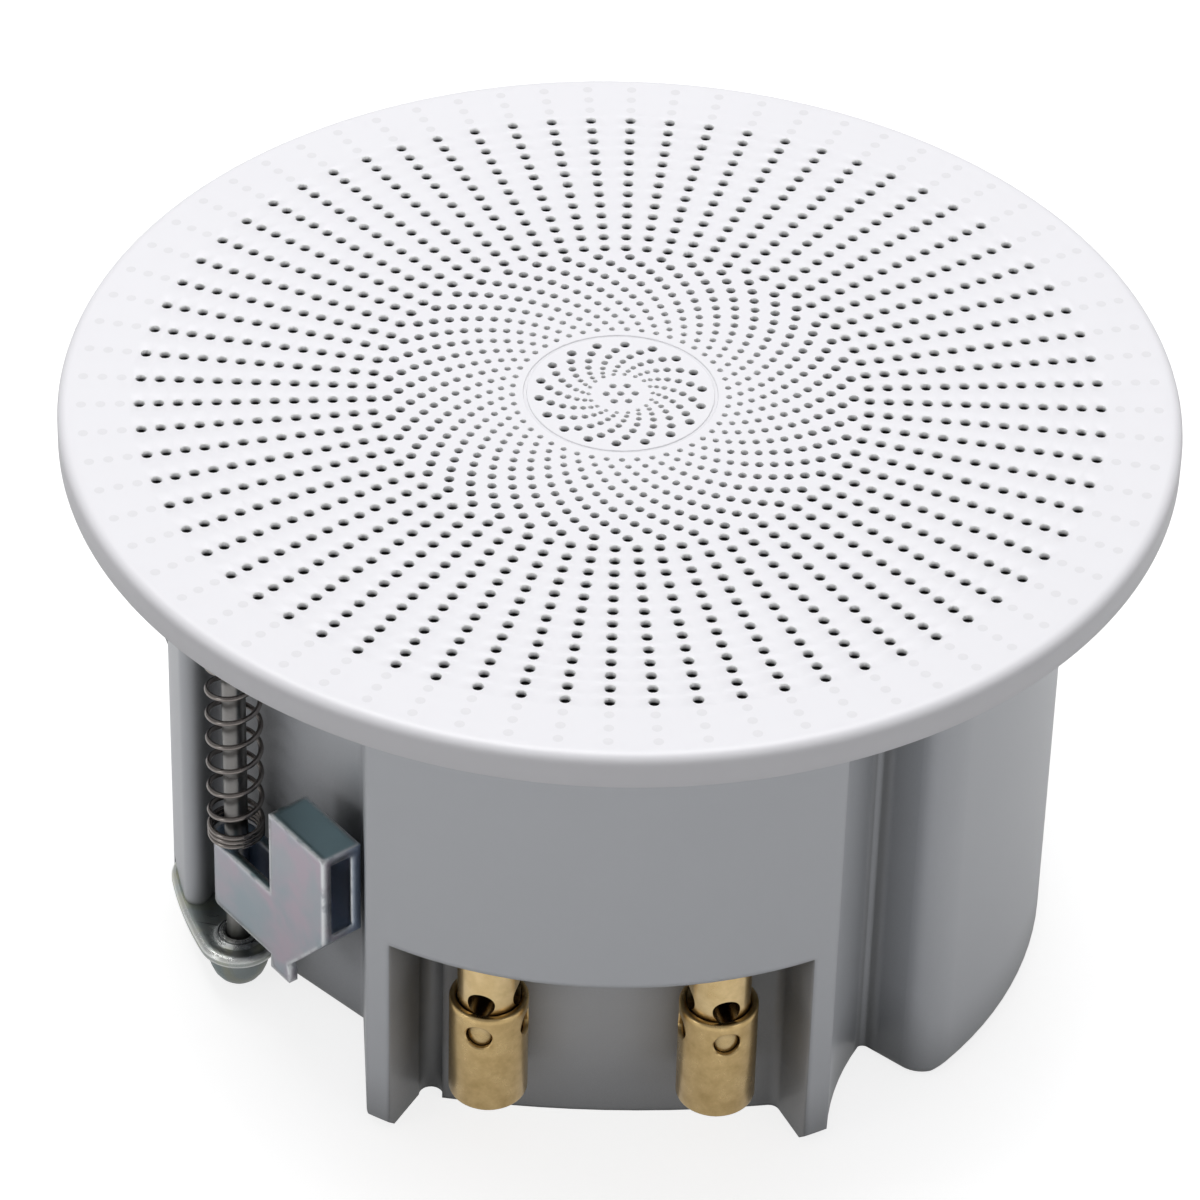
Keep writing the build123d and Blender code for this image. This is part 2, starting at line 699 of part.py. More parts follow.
# Two push terminals: post, sprung sleeve, solder tag and nut.
stud_radius = stud_diameter / 2
tag_top = recess_roof_top + tag_sheet
terminal_coil_radius = (terminal_spring_diameter - terminal_spring_wire) / 2
for side, terminal_at, turned in (
    ("left", -terminal_x, -terminal_turn),
    ("right", terminal_x, terminal_turn),
):
    terminal_axis = Axis((terminal_at, terminal_y, 0), (0, 0, 1))
    terminal_plane = upright(terminal_at, terminal_y)

    with BuildPart() as terminal_post:
        with BuildSketch(terminal_plane):
            with BuildLine():
                Polyline(
                    (0, collar_under),
                    (collar_diameter / 2, collar_under),
                    (collar_diameter / 2, collar_top),
                    (post_diameter / 2, collar_top),
                    (post_diameter / 2, recess_height),
                    (stud_radius, recess_height),
                    (stud_radius, recess_height + stud_length),
                    (0, recess_height + stud_length),
                    close=True,
                )
            make_face()
        revolve(axis=terminal_axis)
        hole_height = recess_height - post_hole_drop
        for facing in (turned - 90, turned):
            hole_at = (terminal_at, terminal_y, hole_height)
            with BuildSketch(Plane(origin=hole_at, z_dir=(*polar(1, facing), 0))):
                Circle(post_hole_diameter / 2)
            extrude(amount=collar_diameter, both=True, mode=Mode.SUBTRACT)
    terminal_post.part.label = f"terminal_post_{side}"
    export_step(terminal_post.part, f"parts/terminal_post_{side}.step")

    with BuildPart() as terminal_sleeve:
        with BuildSketch(terminal_plane):
            with BuildLine():
                Polyline(
                    (0, sleeve_under),
                    (sleeve_diameter / 2 - sleeve_chamfer, sleeve_under),
                    (sleeve_diameter / 2, sleeve_under + sleeve_chamfer),
                    (sleeve_diameter / 2, sleeve_top),
                    (post_diameter / 2 + slide_gap, sleeve_top),
                    (post_diameter / 2 + slide_gap, sleeve_top - sleeve_lip),
                    (collar_diameter / 2 + slide_gap, sleeve_top - sleeve_lip),
                    (collar_diameter / 2 + slide_gap, sleeve_floor_top),
                    (0, sleeve_floor_top),
                    close=True,
                )
            make_face()
        revolve(axis=terminal_axis)
        hole_height = sleeve_top - sleeve_hole_drop
        for facing in (turned - 90, turned):
            hole_at = (terminal_at, terminal_y, hole_height)
            with BuildSketch(Plane(origin=hole_at, z_dir=(*polar(1, facing), 0))):
                Circle(sleeve_hole_diameter / 2)
            extrude(amount=sleeve_diameter, both=True, mode=Mode.SUBTRACT)
    terminal_sleeve.part.label = f"terminal_sleeve_{side}"
    export_step(terminal_sleeve.part, f"parts/terminal_sleeve_{side}.step")

    with BuildPart() as terminal_spring:
        for step in range(int(terminal_spring_turns * coil_sides) + 1):
            turns_made = step / coil_sides
            height = coil_height(
                turns_made,
                terminal_spring_turns,
                terminal_spring_wire,
                sleeve_floor_top + slide_gap,
                collar_under - slide_gap,
            )
            coil_at = coil_plane(terminal_at, terminal_y, terminal_coil_radius, turns_made, height)
            with BuildSketch(coil_at):
                Rectangle(terminal_spring_wire, terminal_spring_wire)
        loft(ruled=True)
    terminal_spring.part.label = f"terminal_spring_{side}"
    export_step(terminal_spring.part, f"parts/terminal_spring_{side}.step")

    with BuildPart() as solder_tag:
        with BuildSketch(Plane.XY.offset(recess_roof_top)):
            with Locations((terminal_at, terminal_y)):
                Circle(tag_ring / 2)
                Rectangle(tag_width, tag_reach, align=(Align.CENTER, Align.MIN))
                Circle(stud_radius + slide_gap, mode=Mode.SUBTRACT)
        extrude(amount=tag_sheet)
    solder_tag.part.label = f"solder_tag_{side}"
    export_step(solder_tag.part, f"parts/solder_tag_{side}.step")

    with BuildPart() as terminal_nut:
        with BuildSketch(Plane.XY.offset(tag_top)):
            with Locations((terminal_at, terminal_y)):
                RegularPolygon(nut_flats / 2, 6, major_radius=False, rotation=30)
                Circle(stud_radius + slide_gap, mode=Mode.SUBTRACT)
        extrude(amount=nut_height)
    terminal_nut.part.label = f"terminal_nut_{side}"
    export_step(terminal_nut.part, f"parts/terminal_nut_{side}.step")

# Driver basket: pressed steel, held against the underside of the deck.
base_radius = basket_base_diameter / 2
basket_hole = gap_diameter / 2 + basket_sheet / 2
with BuildPart() as driver_basket:
    with BuildSketch(Plane.XZ):
        with BuildLine():
            Polyline(
                (throat_radius, flange_under),
                (basket_diameter / 2, flange_under),
                (basket_diameter / 2, flange_under - basket_sheet),
                (throat_radius + basket_sheet, flange_under - basket_sheet),
                (base_radius, basket_under),
                (basket_hole, basket_under),
                (basket_hole, basket_under + basket_sheet),
                (base_radius - basket_sheet, basket_under + basket_sheet),
                close=True,
            )
        make_face()
    revolve(axis=Axis.Z)
    with BuildSketch(Plane.XY.offset(flange_under)):
        with PolarLocations(driver_screw_radius, driver_screw_count, 360 / driver_screw_count / 2):
            Circle(driver_screw_diameter / 2 + slide_gap)
    extrude(amount=-basket_sheet, mode=Mode.SUBTRACT)
driver_basket.part.label = "driver_basket"
export_step(driver_basket.part, "parts/driver_basket.step")

# Motor: a steel cup with a magnet disc and a pole plate stacked in it.
motor_under = basket_under - motor_height
magnet_under = motor_under + motor_floor
pole_under = basket_under - pole_height
with BuildPart() as motor_yoke:
    with BuildSketch(Plane.XY.offset(motor_under)):
        Circle(motor_diameter / 2)
    extrude(amount=motor_height)
    with BuildSketch(Plane.XY.offset(magnet_under)):
        Circle(gap_diameter / 2)
    extrude(amount=motor_height - motor_floor, mode=Mode.SUBTRACT)
motor_yoke.part.label = "motor_yoke"
export_step(motor_yoke.part, "parts/motor_yoke.step")

with BuildPart() as magnet_disc:
    with BuildSketch(Plane.XY.offset(magnet_under)):
        Circle(magnet_diameter / 2)
    extrude(amount=pole_under - magnet_under)
magnet_disc.part.label = "magnet_disc"
export_step(magnet_disc.part, "parts/magnet_disc.step")

with BuildPart() as pole_plate:
    with BuildSketch(Plane.XY.offset(pole_under)):
        Circle(pole_diameter / 2)
    extrude(amount=pole_height)
pole_plate.part.label = "pole_plate"
export_step(pole_plate.part, "parts/pole_plate.step")

# Moving half: the cone on its voice coil, closed by a dust cap.
cone_top = flange_under
cone_neck = cone_top - cone_height
former_top = cone_neck + cone_sheet
former_under = former_top - former_length
winding_under = basket_under - pole_height / 2 - winding_height / 2
with BuildPart() as voice_coil_former:
    with BuildSketch(Plane.XY.offset(former_under)):
        Circle(former_radius)
        Circle(former_radius - former_wall, mode=Mode.SUBTRACT)
    extrude(amount=former_length)
voice_coil_former.part.label = "voice_coil_former"
export_step(voice_coil_former.part, "parts/voice_coil_former.step")

with BuildPart() as voice_coil_winding:
    with BuildSketch(Plane.XY.offset(winding_under)):
        Circle(former_radius + winding_thickness)
        Circle(former_radius, mode=Mode.SUBTRACT)
    extrude(amount=winding_height)
voice_coil_winding.part.label = "voice_coil_winding"
export_step(voice_coil_winding.part, "parts/voice_coil_winding.step")

neck_radius = former_radius + slide_gap
cone_slope = cone_height / (cone_radius - neck_radius)
with BuildPart() as cone:
    with BuildSketch(Plane.XZ):
        with BuildLine():
            Polyline(
                (neck_radius, cone_neck),
                (cone_radius, cone_top),
                (cone_radius, cone_top + cone_sheet),
                (neck_radius, cone_neck + cone_sheet),
                close=True,
            )
        make_face()
    revolve(axis=Axis.Z)
cone.part.label = "cone"
export_step(cone.part, "parts/cone.step")

cap_radius = cap_diameter / 2
cap_under = cone_neck + cone_sheet + (cap_radius - neck_radius) * cone_slope + slide_gap
cap_curve = (cap_radius**2 + cap_height**2) / (2 * cap_height)
with BuildPart() as dust_cap:
    with BuildSketch(Plane.XZ):
        with BuildLine():
            outer = RadiusArc((cap_radius, cap_under), (0, cap_under + cap_height), -cap_curve)
            inner_foot = (cap_radius - cap_sheet, cap_under)
            Line(outer @ 1, (0, cap_under + cap_height - cap_sheet))
            RadiusArc((0, cap_under + cap_height - cap_sheet), inner_foot, cap_curve)
            Line(inner_foot, outer @ 0)
        make_face()
    revolve(axis=Axis.Z)
dust_cap.part.label = "dust_cap"
export_step(dust_cap.part, "parts/dust_cap.step")

# Suspensions: a rubber roll round the cone's rim, and a treated cloth spider round the coil.
roll_inner = cone_radius + glue_gap
roll_outer = throat_radius
roll_middle = (roll_inner + roll_outer) / 2
roll_top = flange_under + surround_sheet + surround_rise
with BuildPart() as surround:
    with BuildSketch(Plane.XZ):
        with BuildLine():
            Polyline(
                (roll_outer + surround_lip, flange_under),
                (roll_outer + surround_lip, flange_under + surround_sheet),
                (roll_outer, flange_under + surround_sheet),
                (roll_middle, roll_top),
                (roll_inner, flange_under + surround_sheet),
                (roll_inner, flange_under),
                (roll_middle, roll_top - surround_sheet),
                (roll_outer, flange_under),
                close=True,
            )
        make_face()
    revolve(axis=Axis.Z)
surround.part.label = "surround"
export_step(surround.part, "parts/surround.step")

spider_height = cone_neck - spider_setback
basket_run = (throat_radius - base_radius + basket_sheet) / (basket_depth - basket_sheet)
spider_outer = base_radius - basket_sheet + (spider_height - basket_under - basket_sheet) * basket_run
spider_inner = former_radius + glue_gap
spider_middle = (spider_inner + spider_outer - glue_gap) / 2
with BuildPart() as spider:
    with BuildSketch(Plane.XZ):
        with BuildLine():
            Polyline(
                (spider_inner, spider_height),
                (spider_middle, spider_height + spider_rise),
                (spider_outer - glue_gap, spider_height),
                (spider_outer - glue_gap, spider_height + spider_sheet),
                (spider_middle, spider_height + spider_rise + spider_sheet),
                (spider_inner, spider_height + spider_sheet),
                close=True,
            )
        make_face()
    revolve(axis=Axis.Z)
spider.part.label = "spider"
export_step(spider.part, "parts/spider.step")

# Screws that hold the basket to the deck, from the back.
basket_face = flange_under - basket_sheet
with BuildPart() as driver_screws:
    with BuildSketch(Plane.XY.offset(basket_face - driver_screw_head_height)):
        with PolarLocations(driver_screw_radius, driver_screw_count, 360 / driver_screw_count / 2):
            RegularPolygon(driver_screw_head / 2, 6)
    extrude(amount=driver_screw_head_height)
    with BuildSketch(Plane.XY.offset(basket_face)):
        with PolarLocations(driver_screw_radius, driver_screw_count, 360 / driver_screw_count / 2):
            Circle(driver_screw_diameter / 2)
    extrude(amount=basket_sheet + deck_thickness - end_float)
driver_screws.part.label = "driver_screws"
export_step(driver_screws.part, "parts/driver_screws.step")

# Wiring: a strip under the basket's flange, and a lead from each solder tag to it.
strip_y = -(basket_diameter / 2 - strip_setback - strip_width / 2)
strip_under = basket_face - strip_sheet
with BuildPart() as driver_terminal_strip:
    with BuildSketch(Plane.XY.offset(strip_under)):
        with Locations((0, strip_y)):
            Rectangle(strip_length, strip_width)
    extrude(amount=strip_sheet)
driver_terminal_strip.part.label = "driver_terminal_strip"
export_step(driver_terminal_strip.part, "parts/driver_terminal_strip.step")

lead_start_y = terminal_y + tag_reach - lead_diameter
for side, start_x, end_x in (
    ("left", -terminal_x, -lead_spread / 2),
    ("right", terminal_x, lead_spread / 2),
):
    with BuildPart() as lead:
        with BuildLine() as route:
            FilletPolyline(
                (start_x, lead_start_y, tag_top),
                (start_x, lead_start_y, tag_top + lead_rise),
                (end_x, strip_y, strip_under - lead_drop),
                (end_x, strip_y, strip_under),
                radius=lead_bend,
            )
        with BuildSketch(Plane(origin=(start_x, lead_start_y, tag_top), z_dir=(0, 0, 1))):
            Circle(lead_diameter / 2)
        sweep(path=route.line)
    lead.part.label = f"lead_{side}"
    export_step(lead.part, f"parts/lead_{side}.step")
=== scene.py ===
from math import asin, cos, pi, radians, sin, tau

import bmesh
import bpy
from mathutils import Matrix, Vector


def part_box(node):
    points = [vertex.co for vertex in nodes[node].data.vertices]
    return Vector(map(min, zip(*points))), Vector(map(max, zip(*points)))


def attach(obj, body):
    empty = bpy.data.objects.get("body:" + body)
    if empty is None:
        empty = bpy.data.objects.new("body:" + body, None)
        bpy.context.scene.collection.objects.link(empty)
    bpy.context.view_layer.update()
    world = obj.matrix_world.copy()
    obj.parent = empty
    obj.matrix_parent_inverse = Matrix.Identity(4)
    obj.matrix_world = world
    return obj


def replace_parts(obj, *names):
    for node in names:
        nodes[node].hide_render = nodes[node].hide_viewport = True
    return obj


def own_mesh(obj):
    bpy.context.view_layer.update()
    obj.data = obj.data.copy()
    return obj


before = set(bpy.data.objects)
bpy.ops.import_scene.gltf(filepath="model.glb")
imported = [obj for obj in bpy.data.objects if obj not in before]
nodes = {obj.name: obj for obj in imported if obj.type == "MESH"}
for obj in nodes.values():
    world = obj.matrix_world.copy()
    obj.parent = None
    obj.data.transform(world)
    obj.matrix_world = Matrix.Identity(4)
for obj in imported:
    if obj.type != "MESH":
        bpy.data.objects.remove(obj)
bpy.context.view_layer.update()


# Rear can: the grey cup that sits above the ceiling board. It is one injection moulding in
# satin plastic, with pockets for the clamps, a cable groove and a recess for the terminals.
mm = 0.001


def new_material(name):
    """A node material with its tree and its Principled shader."""
    made = bpy.data.materials.new(name)
    made.use_nodes = True
    return made, made.node_tree, made.node_tree.nodes["Principled BSDF"]


def set_inputs(node, values):
    """Puts a constant or a link on each of a node's inputs that is named."""
    for key, value in values.items():
        if isinstance(value, bpy.types.NodeSocket):
            node.id_data.links.new(value, node.inputs[key])
        else:
            node.inputs[key].default_value = value


def add_node(tree, kind, values=None, **settings):
    """A node with its settings, and with constants and links on its inputs."""
    node = tree.nodes.new(kind)
    for key, value in settings.items():
        setattr(node, key, value)
    set_inputs(node, values or {})
    return node


def new_effect(name, inputs, outputs):
    """A shader node group with float or colour sockets, and its two end nodes."""
    group = bpy.data.node_groups.new(name, "ShaderNodeTree")
    for socket, default in inputs.items():
        kind = "NodeSocketColor" if isinstance(default, tuple) else "NodeSocketFloat"
        made = group.interface.new_socket(socket, in_out="INPUT", socket_type=kind)
        made.default_value = default
    for socket, kind in outputs.items():
        group.interface.new_socket(socket, in_out="OUTPUT", socket_type=kind)
    return group, group.nodes.new("NodeGroupInput"), group.nodes.new("NodeGroupOutput")


def place_effect(tree, group, **values):
    """One use of a node group in a material, with its own values."""
    return add_node(tree, "ShaderNodeGroup", values, node_tree=group)


def color_mix(tree, factor, first, second):
    """A colour between two constants or links, chosen by a mask."""
    ends = [(*end, 1.0) if isinstance(end, tuple) else end for end in (first, second)]
    values = {"Factor": factor, "A": ends[0], "B": ends[1]}
    return add_node(tree, "ShaderNodeMix", values, data_type="RGBA").outputs["Result"]


def value_range(tree, mask, low, high):
    """Spreads a mask from 0 and 1 to low and high."""
    values = {"Value": mask, "To Min": low, "To Max": high}
    return add_node(tree, "ShaderNodeMapRange", values).outputs["Result"]


def mask_between(tree, source, zero, one, **settings):
    """A mask that is 0 where the source has one level, and 1 where it has another."""
    values = {"Value": source, "From Min": zero, "From Max": one}
    return add_node(tree, "ShaderNodeMapRange", values, **settings).outputs["Result"]


def bump_from(tree, height, strength, depth):
    """A normal raised by a height mask."""
    values = {"Height": height, "Strength": strength, "Distance": depth}
    return add_node(tree, "ShaderNodeBump", values).outputs["Normal"]


def moulded_grain_effect():
    """Fine spark grain of a moulding tool, and the slow change of shade over the part."""
    group, given, made = new_effect(
        "moulded_grain", {"Scale": 5000.0}, {"Height": "NodeSocketFloat", "Shade": "NodeSocketFloat"}
    )
    where = add_node(group, "ShaderNodeTexCoord").outputs["Object"]
    fine = {"Vector": where, "Scale": given.outputs["Scale"], "Detail": 3.0, "Roughness": 0.6}
    grain = add_node(group, "ShaderNodeTexNoise", fine)
    cloud = add_node(group, "ShaderNodeTexNoise", {"Vector": where, "Scale": 45.0, "Detail": 2.0})
    set_inputs(made, {"Height": grain.outputs["Fac"], "Shade": cloud.outputs["Fac"]})
    return group


def hollow_shade_effect():
    """Mask of nooks and bores where little light gets in, used to paint shade there."""
    group, given, made = new_effect(
        "hollow_shade", {"Reach": 0.01, "Open": 0.75, "Closed": 0.15}, {"Mask": "NodeSocketFloat"}
    )
    reach = {"Distance": given.outputs["Reach"]}
    open_sky = add_node(group, "ShaderNodeAmbientOcclusion", reach, samples=8)
    mask = mask_between(group, open_sky.outputs["AO"], given.outputs["Open"], given.outputs["Closed"])
    set_inputs(made, {"Mask": mask})
    return group


moulded_grain = moulded_grain_effect()
hollow_shade = hollow_shade_effect()


def moulded_plastic(name, pale, deep, roughness, grain_depth, edge=0.0, painted_nook_shade=None):
    """Satin moulded plastic in two close shades of its colour, with its edges eased and a darker painted
    shade in its nooks.
    """
    made, tree, shader = new_material(name)
    grain = place_effect(tree, moulded_grain, Scale=4200.0)
    face = color_mix(tree, grain.outputs["Shade"], pale, deep)
    # Painted shade: nooks that little light reaches take a darker colour.
    if painted_nook_shade:
        hollow = place_effect(tree, hollow_shade, Reach=12.0 * mm, Open=0.86)
        face = color_mix(tree, hollow.outputs["Mask"], face, painted_nook_shade)
    rough = value_range(tree, grain.outputs["Height"], *roughness)
    normal = bump_from(tree, grain.outputs["Height"], 0.35, grain_depth)
    if edge:
        eased = add_node(tree, "ShaderNodeBevel", {"Radius": edge}, samples=8)
        set_inputs(normal.node, {"Normal": eased.outputs["Normal"]})
    set_inputs(shader, {"Base Color": face, "Roughness": rough, "Normal": normal})
    return made


def dress(node, material):
    """Gives a piece its only material."""
    node.data.materials.clear()
    node.data.materials.append(material)
    return node


can_plastic = moulded_plastic(
    "grey_satin_plastic",
    (0.74, 0.76, 0.80),
    (0.72, 0.74, 0.78),
    roughness=(0.3, 0.4),
    grain_depth=0.02 * mm,
    edge=1.0 * mm,
    # Painted shade colour for the can's pockets, recess and groove.
    painted_nook_shade=(0.17, 0.175, 0.18),
)


def ease_root(material, root, facing, reach):
    """Turns the normals beside the root of a groove to its mouth, as a wide rounding would."""
    tree = material.node_tree
    where = add_node(tree, "ShaderNodeTexCoord").outputs["Object"]
    offset = add_node(tree, "ShaderNodeVectorMath", {0: where, 1: (*root, 0.0)}, operation="SUBTRACT")
    across = {0: offset.outputs["Vector"], 1: (1.0, 1.0, 0.0)}
    level = add_node(tree, "ShaderNodeVectorMath", across, operation="MULTIPLY")
    away = add_node(tree, "ShaderNodeVectorMath", {0: level.outputs["Vector"]}, operation="LENGTH")
    near = mask_between(tree, away.outputs["Value"], reach, 0.4 * reach, interpolation_type="SMOOTHSTEP")
    ends = {"Factor": near, "A": tree.nodes["Bevel"].outputs["Normal"], "B": facing}
    turn = add_node(tree, "ShaderNodeMix", ends, data_type="VECTOR")
    unit = add_node(tree, "ShaderNodeVectorMath", {0: turn.outputs["Result"]}, operation="NORMALIZE")
    set_inputs(tree.nodes["Bump"], {"Normal": unit.outputs["Vector"]})


groove_root = (28.5 * mm, -28.4 * mm)
groove_facing = (0.31, -0.95, 0.0)
groove_easing = 2.4 * mm
ease_root(can_plastic, groove_root, groove_facing, groove_easing)
dress(nodes["rear_can"], can_plastic)


# Front frame: the flange ring and deck that the driver, the can and the cover are fixed to.
# It is a plain pale moulding, hidden behind the cover apart from its flat back.
def soften_edges(node, width):
    """Joins the faces of a solid and rounds its sharp edges, with the width in millimetres."""
    normals = node.data.attributes.get("custom_normal")
    if normals:
        node.data.attributes.remove(normals)
    node.data.shade_smooth()
    weld = node.modifiers.new("joined_faces", "WELD")
    weld.merge_threshold = 0.002 * mm
    bevel = node.modifiers.new("rounded_edges", "BEVEL")
    bevel.width = width * mm
    bevel.segments = 3
    bevel.limit_method = "ANGLE"
    bevel.angle_limit = radians(40.0)
    bevel.use_clamp_overlap = False
    bevel.harden_normals = True
    return node


frame_plastic = moulded_plastic(
    "pale_frame_plastic", (0.74, 0.74, 0.76), (0.70, 0.70, 0.72), (0.42, 0.52), 0.02 * mm
)
dress(soften_edges(nodes["front_frame"], 0.2), frame_plastic)


# Push terminals: a brass post with a cross hole, and a sprung brass sleeve that is pushed up
# to let a bare wire in. Both are turned from bar and left bare, with light handling marks.
def turned_lines_effect():
    """Tool lines round a turned piece, and the blotches that bare metal picks up."""
    group, given, made = new_effect(
        "turned_lines",
        {"Fineness": 9000.0, "Blotch": 500.0},
        {"Lines": "NodeSocketFloat", "Blotches": "NodeSocketFloat"},
    )
    where = add_node(group, "ShaderNodeTexCoord").outputs["Object"]
    squeeze = {0: where, 1: (0.02, 0.02, 1.0)}
    squeezed = add_node(group, "ShaderNodeVectorMath", squeeze, operation="MULTIPLY").outputs["Vector"]
    fine = {"Vector": squeezed, "Scale": given.outputs["Fineness"], "Detail": 2.0, "Roughness": 0.5}
    coarse = {"Vector": where, "Scale": given.outputs["Blotch"], "Detail": 4.0, "Roughness": 0.65}
    lines = add_node(group, "ShaderNodeTexNoise", fine)
    blotches = add_node(group, "ShaderNodeTexNoise", coarse)
    set_inputs(made, {"Lines": lines.outputs["Fac"], "Blotches": blotches.outputs["Fac"]})
    return group


turned_lines = turned_lines_effect()


def turned_metal(name, bright, dull, roughness, line_depth, painted_nook_shade=None, painted_nook_reach=2.5, sheathed=0.0):
    """Turned bare metal in blotches, with tool lines, painted shade in its bores and nooks, and a closer
    painted shade below a level where it is sheathed.
    """
    made, tree, shader = new_material(name)
    lines = place_effect(tree, turned_lines)
    spots = mask_between(tree, lines.outputs["Blotches"], 0.35, 0.7)
    face = color_mix(tree, spots, bright, dull)
    # Painted shade in bores and nooks; below the sheathed level, a tighter painted shade round the openings.
    if painted_nook_shade:
        shade = place_effect(tree, hollow_shade, Reach=painted_nook_reach * mm, Open=0.75).outputs["Mask"]
        if sheathed:
            close = place_effect(tree, hollow_shade, Reach=1.6 * mm, Open=0.95, Closed=0.45)
            where = add_node(tree, "ShaderNodeTexCoord").outputs["Object"]
            parts = add_node(tree, "ShaderNodeSeparateXYZ", {"Vector": where})
            free = mask_between(tree, parts.outputs["Z"], sheathed - 0.4 * mm, sheathed)
            ends = {"Factor": free, "A": close.outputs["Mask"], "B": shade}
            shade = add_node(tree, "ShaderNodeMix", ends, data_type="FLOAT").outputs["Result"]
        face = color_mix(tree, shade, face, painted_nook_shade)
    rough = value_range(tree, lines.outputs["Blotches"], *roughness)
    normal = bump_from(tree, lines.outputs["Lines"], 0.4, line_depth)
    set_inputs(shader, {"Base Color": face, "Roughness": rough, "Normal": normal, "Metallic": 1.0})
    return made


def mesh_piece(name, bm, sharp=40.0):
    """An object from a closed bmesh, shaded smooth apart from its sharp edges."""
    bmesh.ops.recalc_face_normals(bm, faces=bm.faces)
    mesh = bpy.data.meshes.new(name)
    bm.to_mesh(mesh)
    bm.free()
    mesh.shade_smooth()
    mesh.set_sharp_from_angle(angle=radians(sharp))
    piece = bpy.data.objects.new(name, mesh)
    bpy.context.scene.collection.objects.link(piece)
    return piece


def skin(bm, first, second, slot=0):
    """Quads between two rings of equal count, or a fan where one of them is a single point."""
    count = max(len(first), len(second))
    for k in range(count):
        corners = (first[k % len(first)], first[(k + 1) % len(first)])
        corners += (second[(k + 1) % len(second)], second[k % len(second)])
        corners = tuple(dict.fromkeys(corners))
        if len(corners) > 2:
            bm.faces.new(corners).material_index = slot


def turned_rings(bm, section, count, middle=(0.0, 0.0), start=0.0):
    """Rings of a turned section of (radius, height) corners in millimetres, joined by skin."""
    rings = []
    for radius, height in section:
        if radius == 0:
            rings.append([bm.verts.new((middle[0] * mm, middle[1] * mm, height * mm))])
            continue
        ring = []
        for k in range(count):
            angle = start + tau * k / count
            x = middle[0] + radius * cos(angle)
            y = middle[1] + radius * sin(angle)
            ring.append(bm.verts.new((x * mm, y * mm, height * mm)))
        rings.append(ring)
    for first, second in zip(rings, rings[1:]):
        skin(bm, first, second)
    return rings


def hole_ring(bm, drill, along, angle, radius, side):
    """Points round a hole, starting at the corner of the cell that it stands in."""
    corner = -3 / 8
    ring = []
    for j in range(4 * side):
        bearing = tau * (j / (4 * side) + corner)
        ring.append(bm.verts.new(drill(along, angle, radius * cos(bearing), radius * sin(bearing))))
    return ring


def drilled_cells(bm, place, drill, rows, count, twist, side, settle=None, steps=1):
    """One face of a drilled wall, as rows of cells with a round opening in each.

    A row is (near edge, far edge, hole middle, hole radius) along the wall. place and drill turn
    such lengths and angles into points, and settle brings the points in between onto a round wall.
    Returns the first and last edge loops and the openings."""
    pitch = tau / count

    def edge_loop(along):
        return [
            bm.verts.new(place(along, twist(along) + (k / side - 0.5) * pitch)) for k in range(count * side)
        ]

    loops = [edge_loop(rows[0][0])] + [edge_loop(row[1]) for row in rows]
    openings = []
    for (near, far, middle, radius), first, second in zip(rows, loops, loops[1:]):
        spokes = []
        for k in range(count):
            levels = [near + (far - near) * j / side for j in range(1, side)]
            spokes.append([bm.verts.new(place(a, twist(a) + (k - 0.5) * pitch)) for a in levels])
        row_openings = []
        for k in range(count):
            rim = [first[(k * side + j) % len(first)] for j in range(side + 1)]
            rim += spokes[(k + 1) % count]
            rim += [second[(k * side + j) % len(second)] for j in range(side, -1, -1)]
            rim += reversed(spokes[k])
            ring = hole_ring(bm, drill, middle, twist(middle) + k * pitch, radius, side)
            last = rim
            for step in range(1, steps):
                points = [settle(a.co.lerp(b.co, step / steps)) for a, b in zip(rim, ring)]
                between = [bm.verts.new(point) for point in points]
                skin(bm, last, between)
                last = between
            skin(bm, last, ring)
            row_openings.append(ring)
        openings.append(row_openings)
    return loops[0], loops[-1], openings


def box_middle(low, high):
    """Middle of a box across, in millimetres."""
    return (low.x + high.x) / 2 / mm, (low.y + high.y) / 2 / mm


def sleeve_wall(middle, radius):
    """Points on the sleeve's wall, points round a hole in it, and points brought onto it."""
    def place(along, angle):
        x = middle[0] + radius * cos(angle)
        y = middle[1] + radius * sin(angle)
        return (x * mm, y * mm, along * mm)

    def drill(along, angle, across, up):
        return place(along + up, angle + asin(across / radius))

    def settle(point):
        spoke = Vector((point.x - middle[0] * mm, point.y - middle[1] * mm, 0.0))
        return point + spoke.normalized() * radius * mm - spoke

    return place, drill, settle


brass_bright = (0.74, 0.54, 0.26)
brass_dull = (0.56, 0.39, 0.17)
# Painted shade colour for brass bores and nooks.
brass_painted_shade = (0.07, 0.042, 0.018)
brass_lines = 0.006 * mm
brass = turned_metal("bare_brass", brass_bright, brass_dull, (0.22, 0.36), brass_lines, brass_painted_shade)
sleeve_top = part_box("terminal_sleeve_left")[1].z
# Below sheath_start the post takes a closer painted shade from the sleeve round it.
sheath_start = sleeve_top - 0.3 * mm
# The post's brass is a lighter copy of the sleeve's brass, a painted highlight.
lit_post_brass = turned_metal(
    "lit_post_brass",
    (0.88, 0.67, 0.36),
    brass_bright,
    (0.18, 0.32),
    brass_lines,
    painted_nook_shade=brass_painted_shade,
    painted_nook_reach=5.0,
    sheathed=sheath_start,
)
# A dark copy of brass for the walls of the sleeve's holes, painted shade.
shaded_bore_brass = turned_metal("shaded_bore_brass", (0.05, 0.028, 0.01), (0.04, 0.02, 0.008), (0.4, 0.5), brass_lines)
bore_shade_slot = 1
sleeve_radius = 4.25
sleeve_bore = 3.7
sleeve_lip_bore = 3.45
sleeve_lip = 0.8
sleeve_floor = 1.5
sleeve_chamfer = 0.6
sleeve_edge = 0.15
sleeve_turn = radians(14.0)
sleeve_holes = 4
sleeve_hole_radius = 1.45
sleeve_hole_drop = 2.75
sleeve_hole_chamfer = 0.15
sleeve_hole_reach = 1.9
cell_side = 14
cell_steps = 7
sleeve_points = sleeve_holes * cell_side
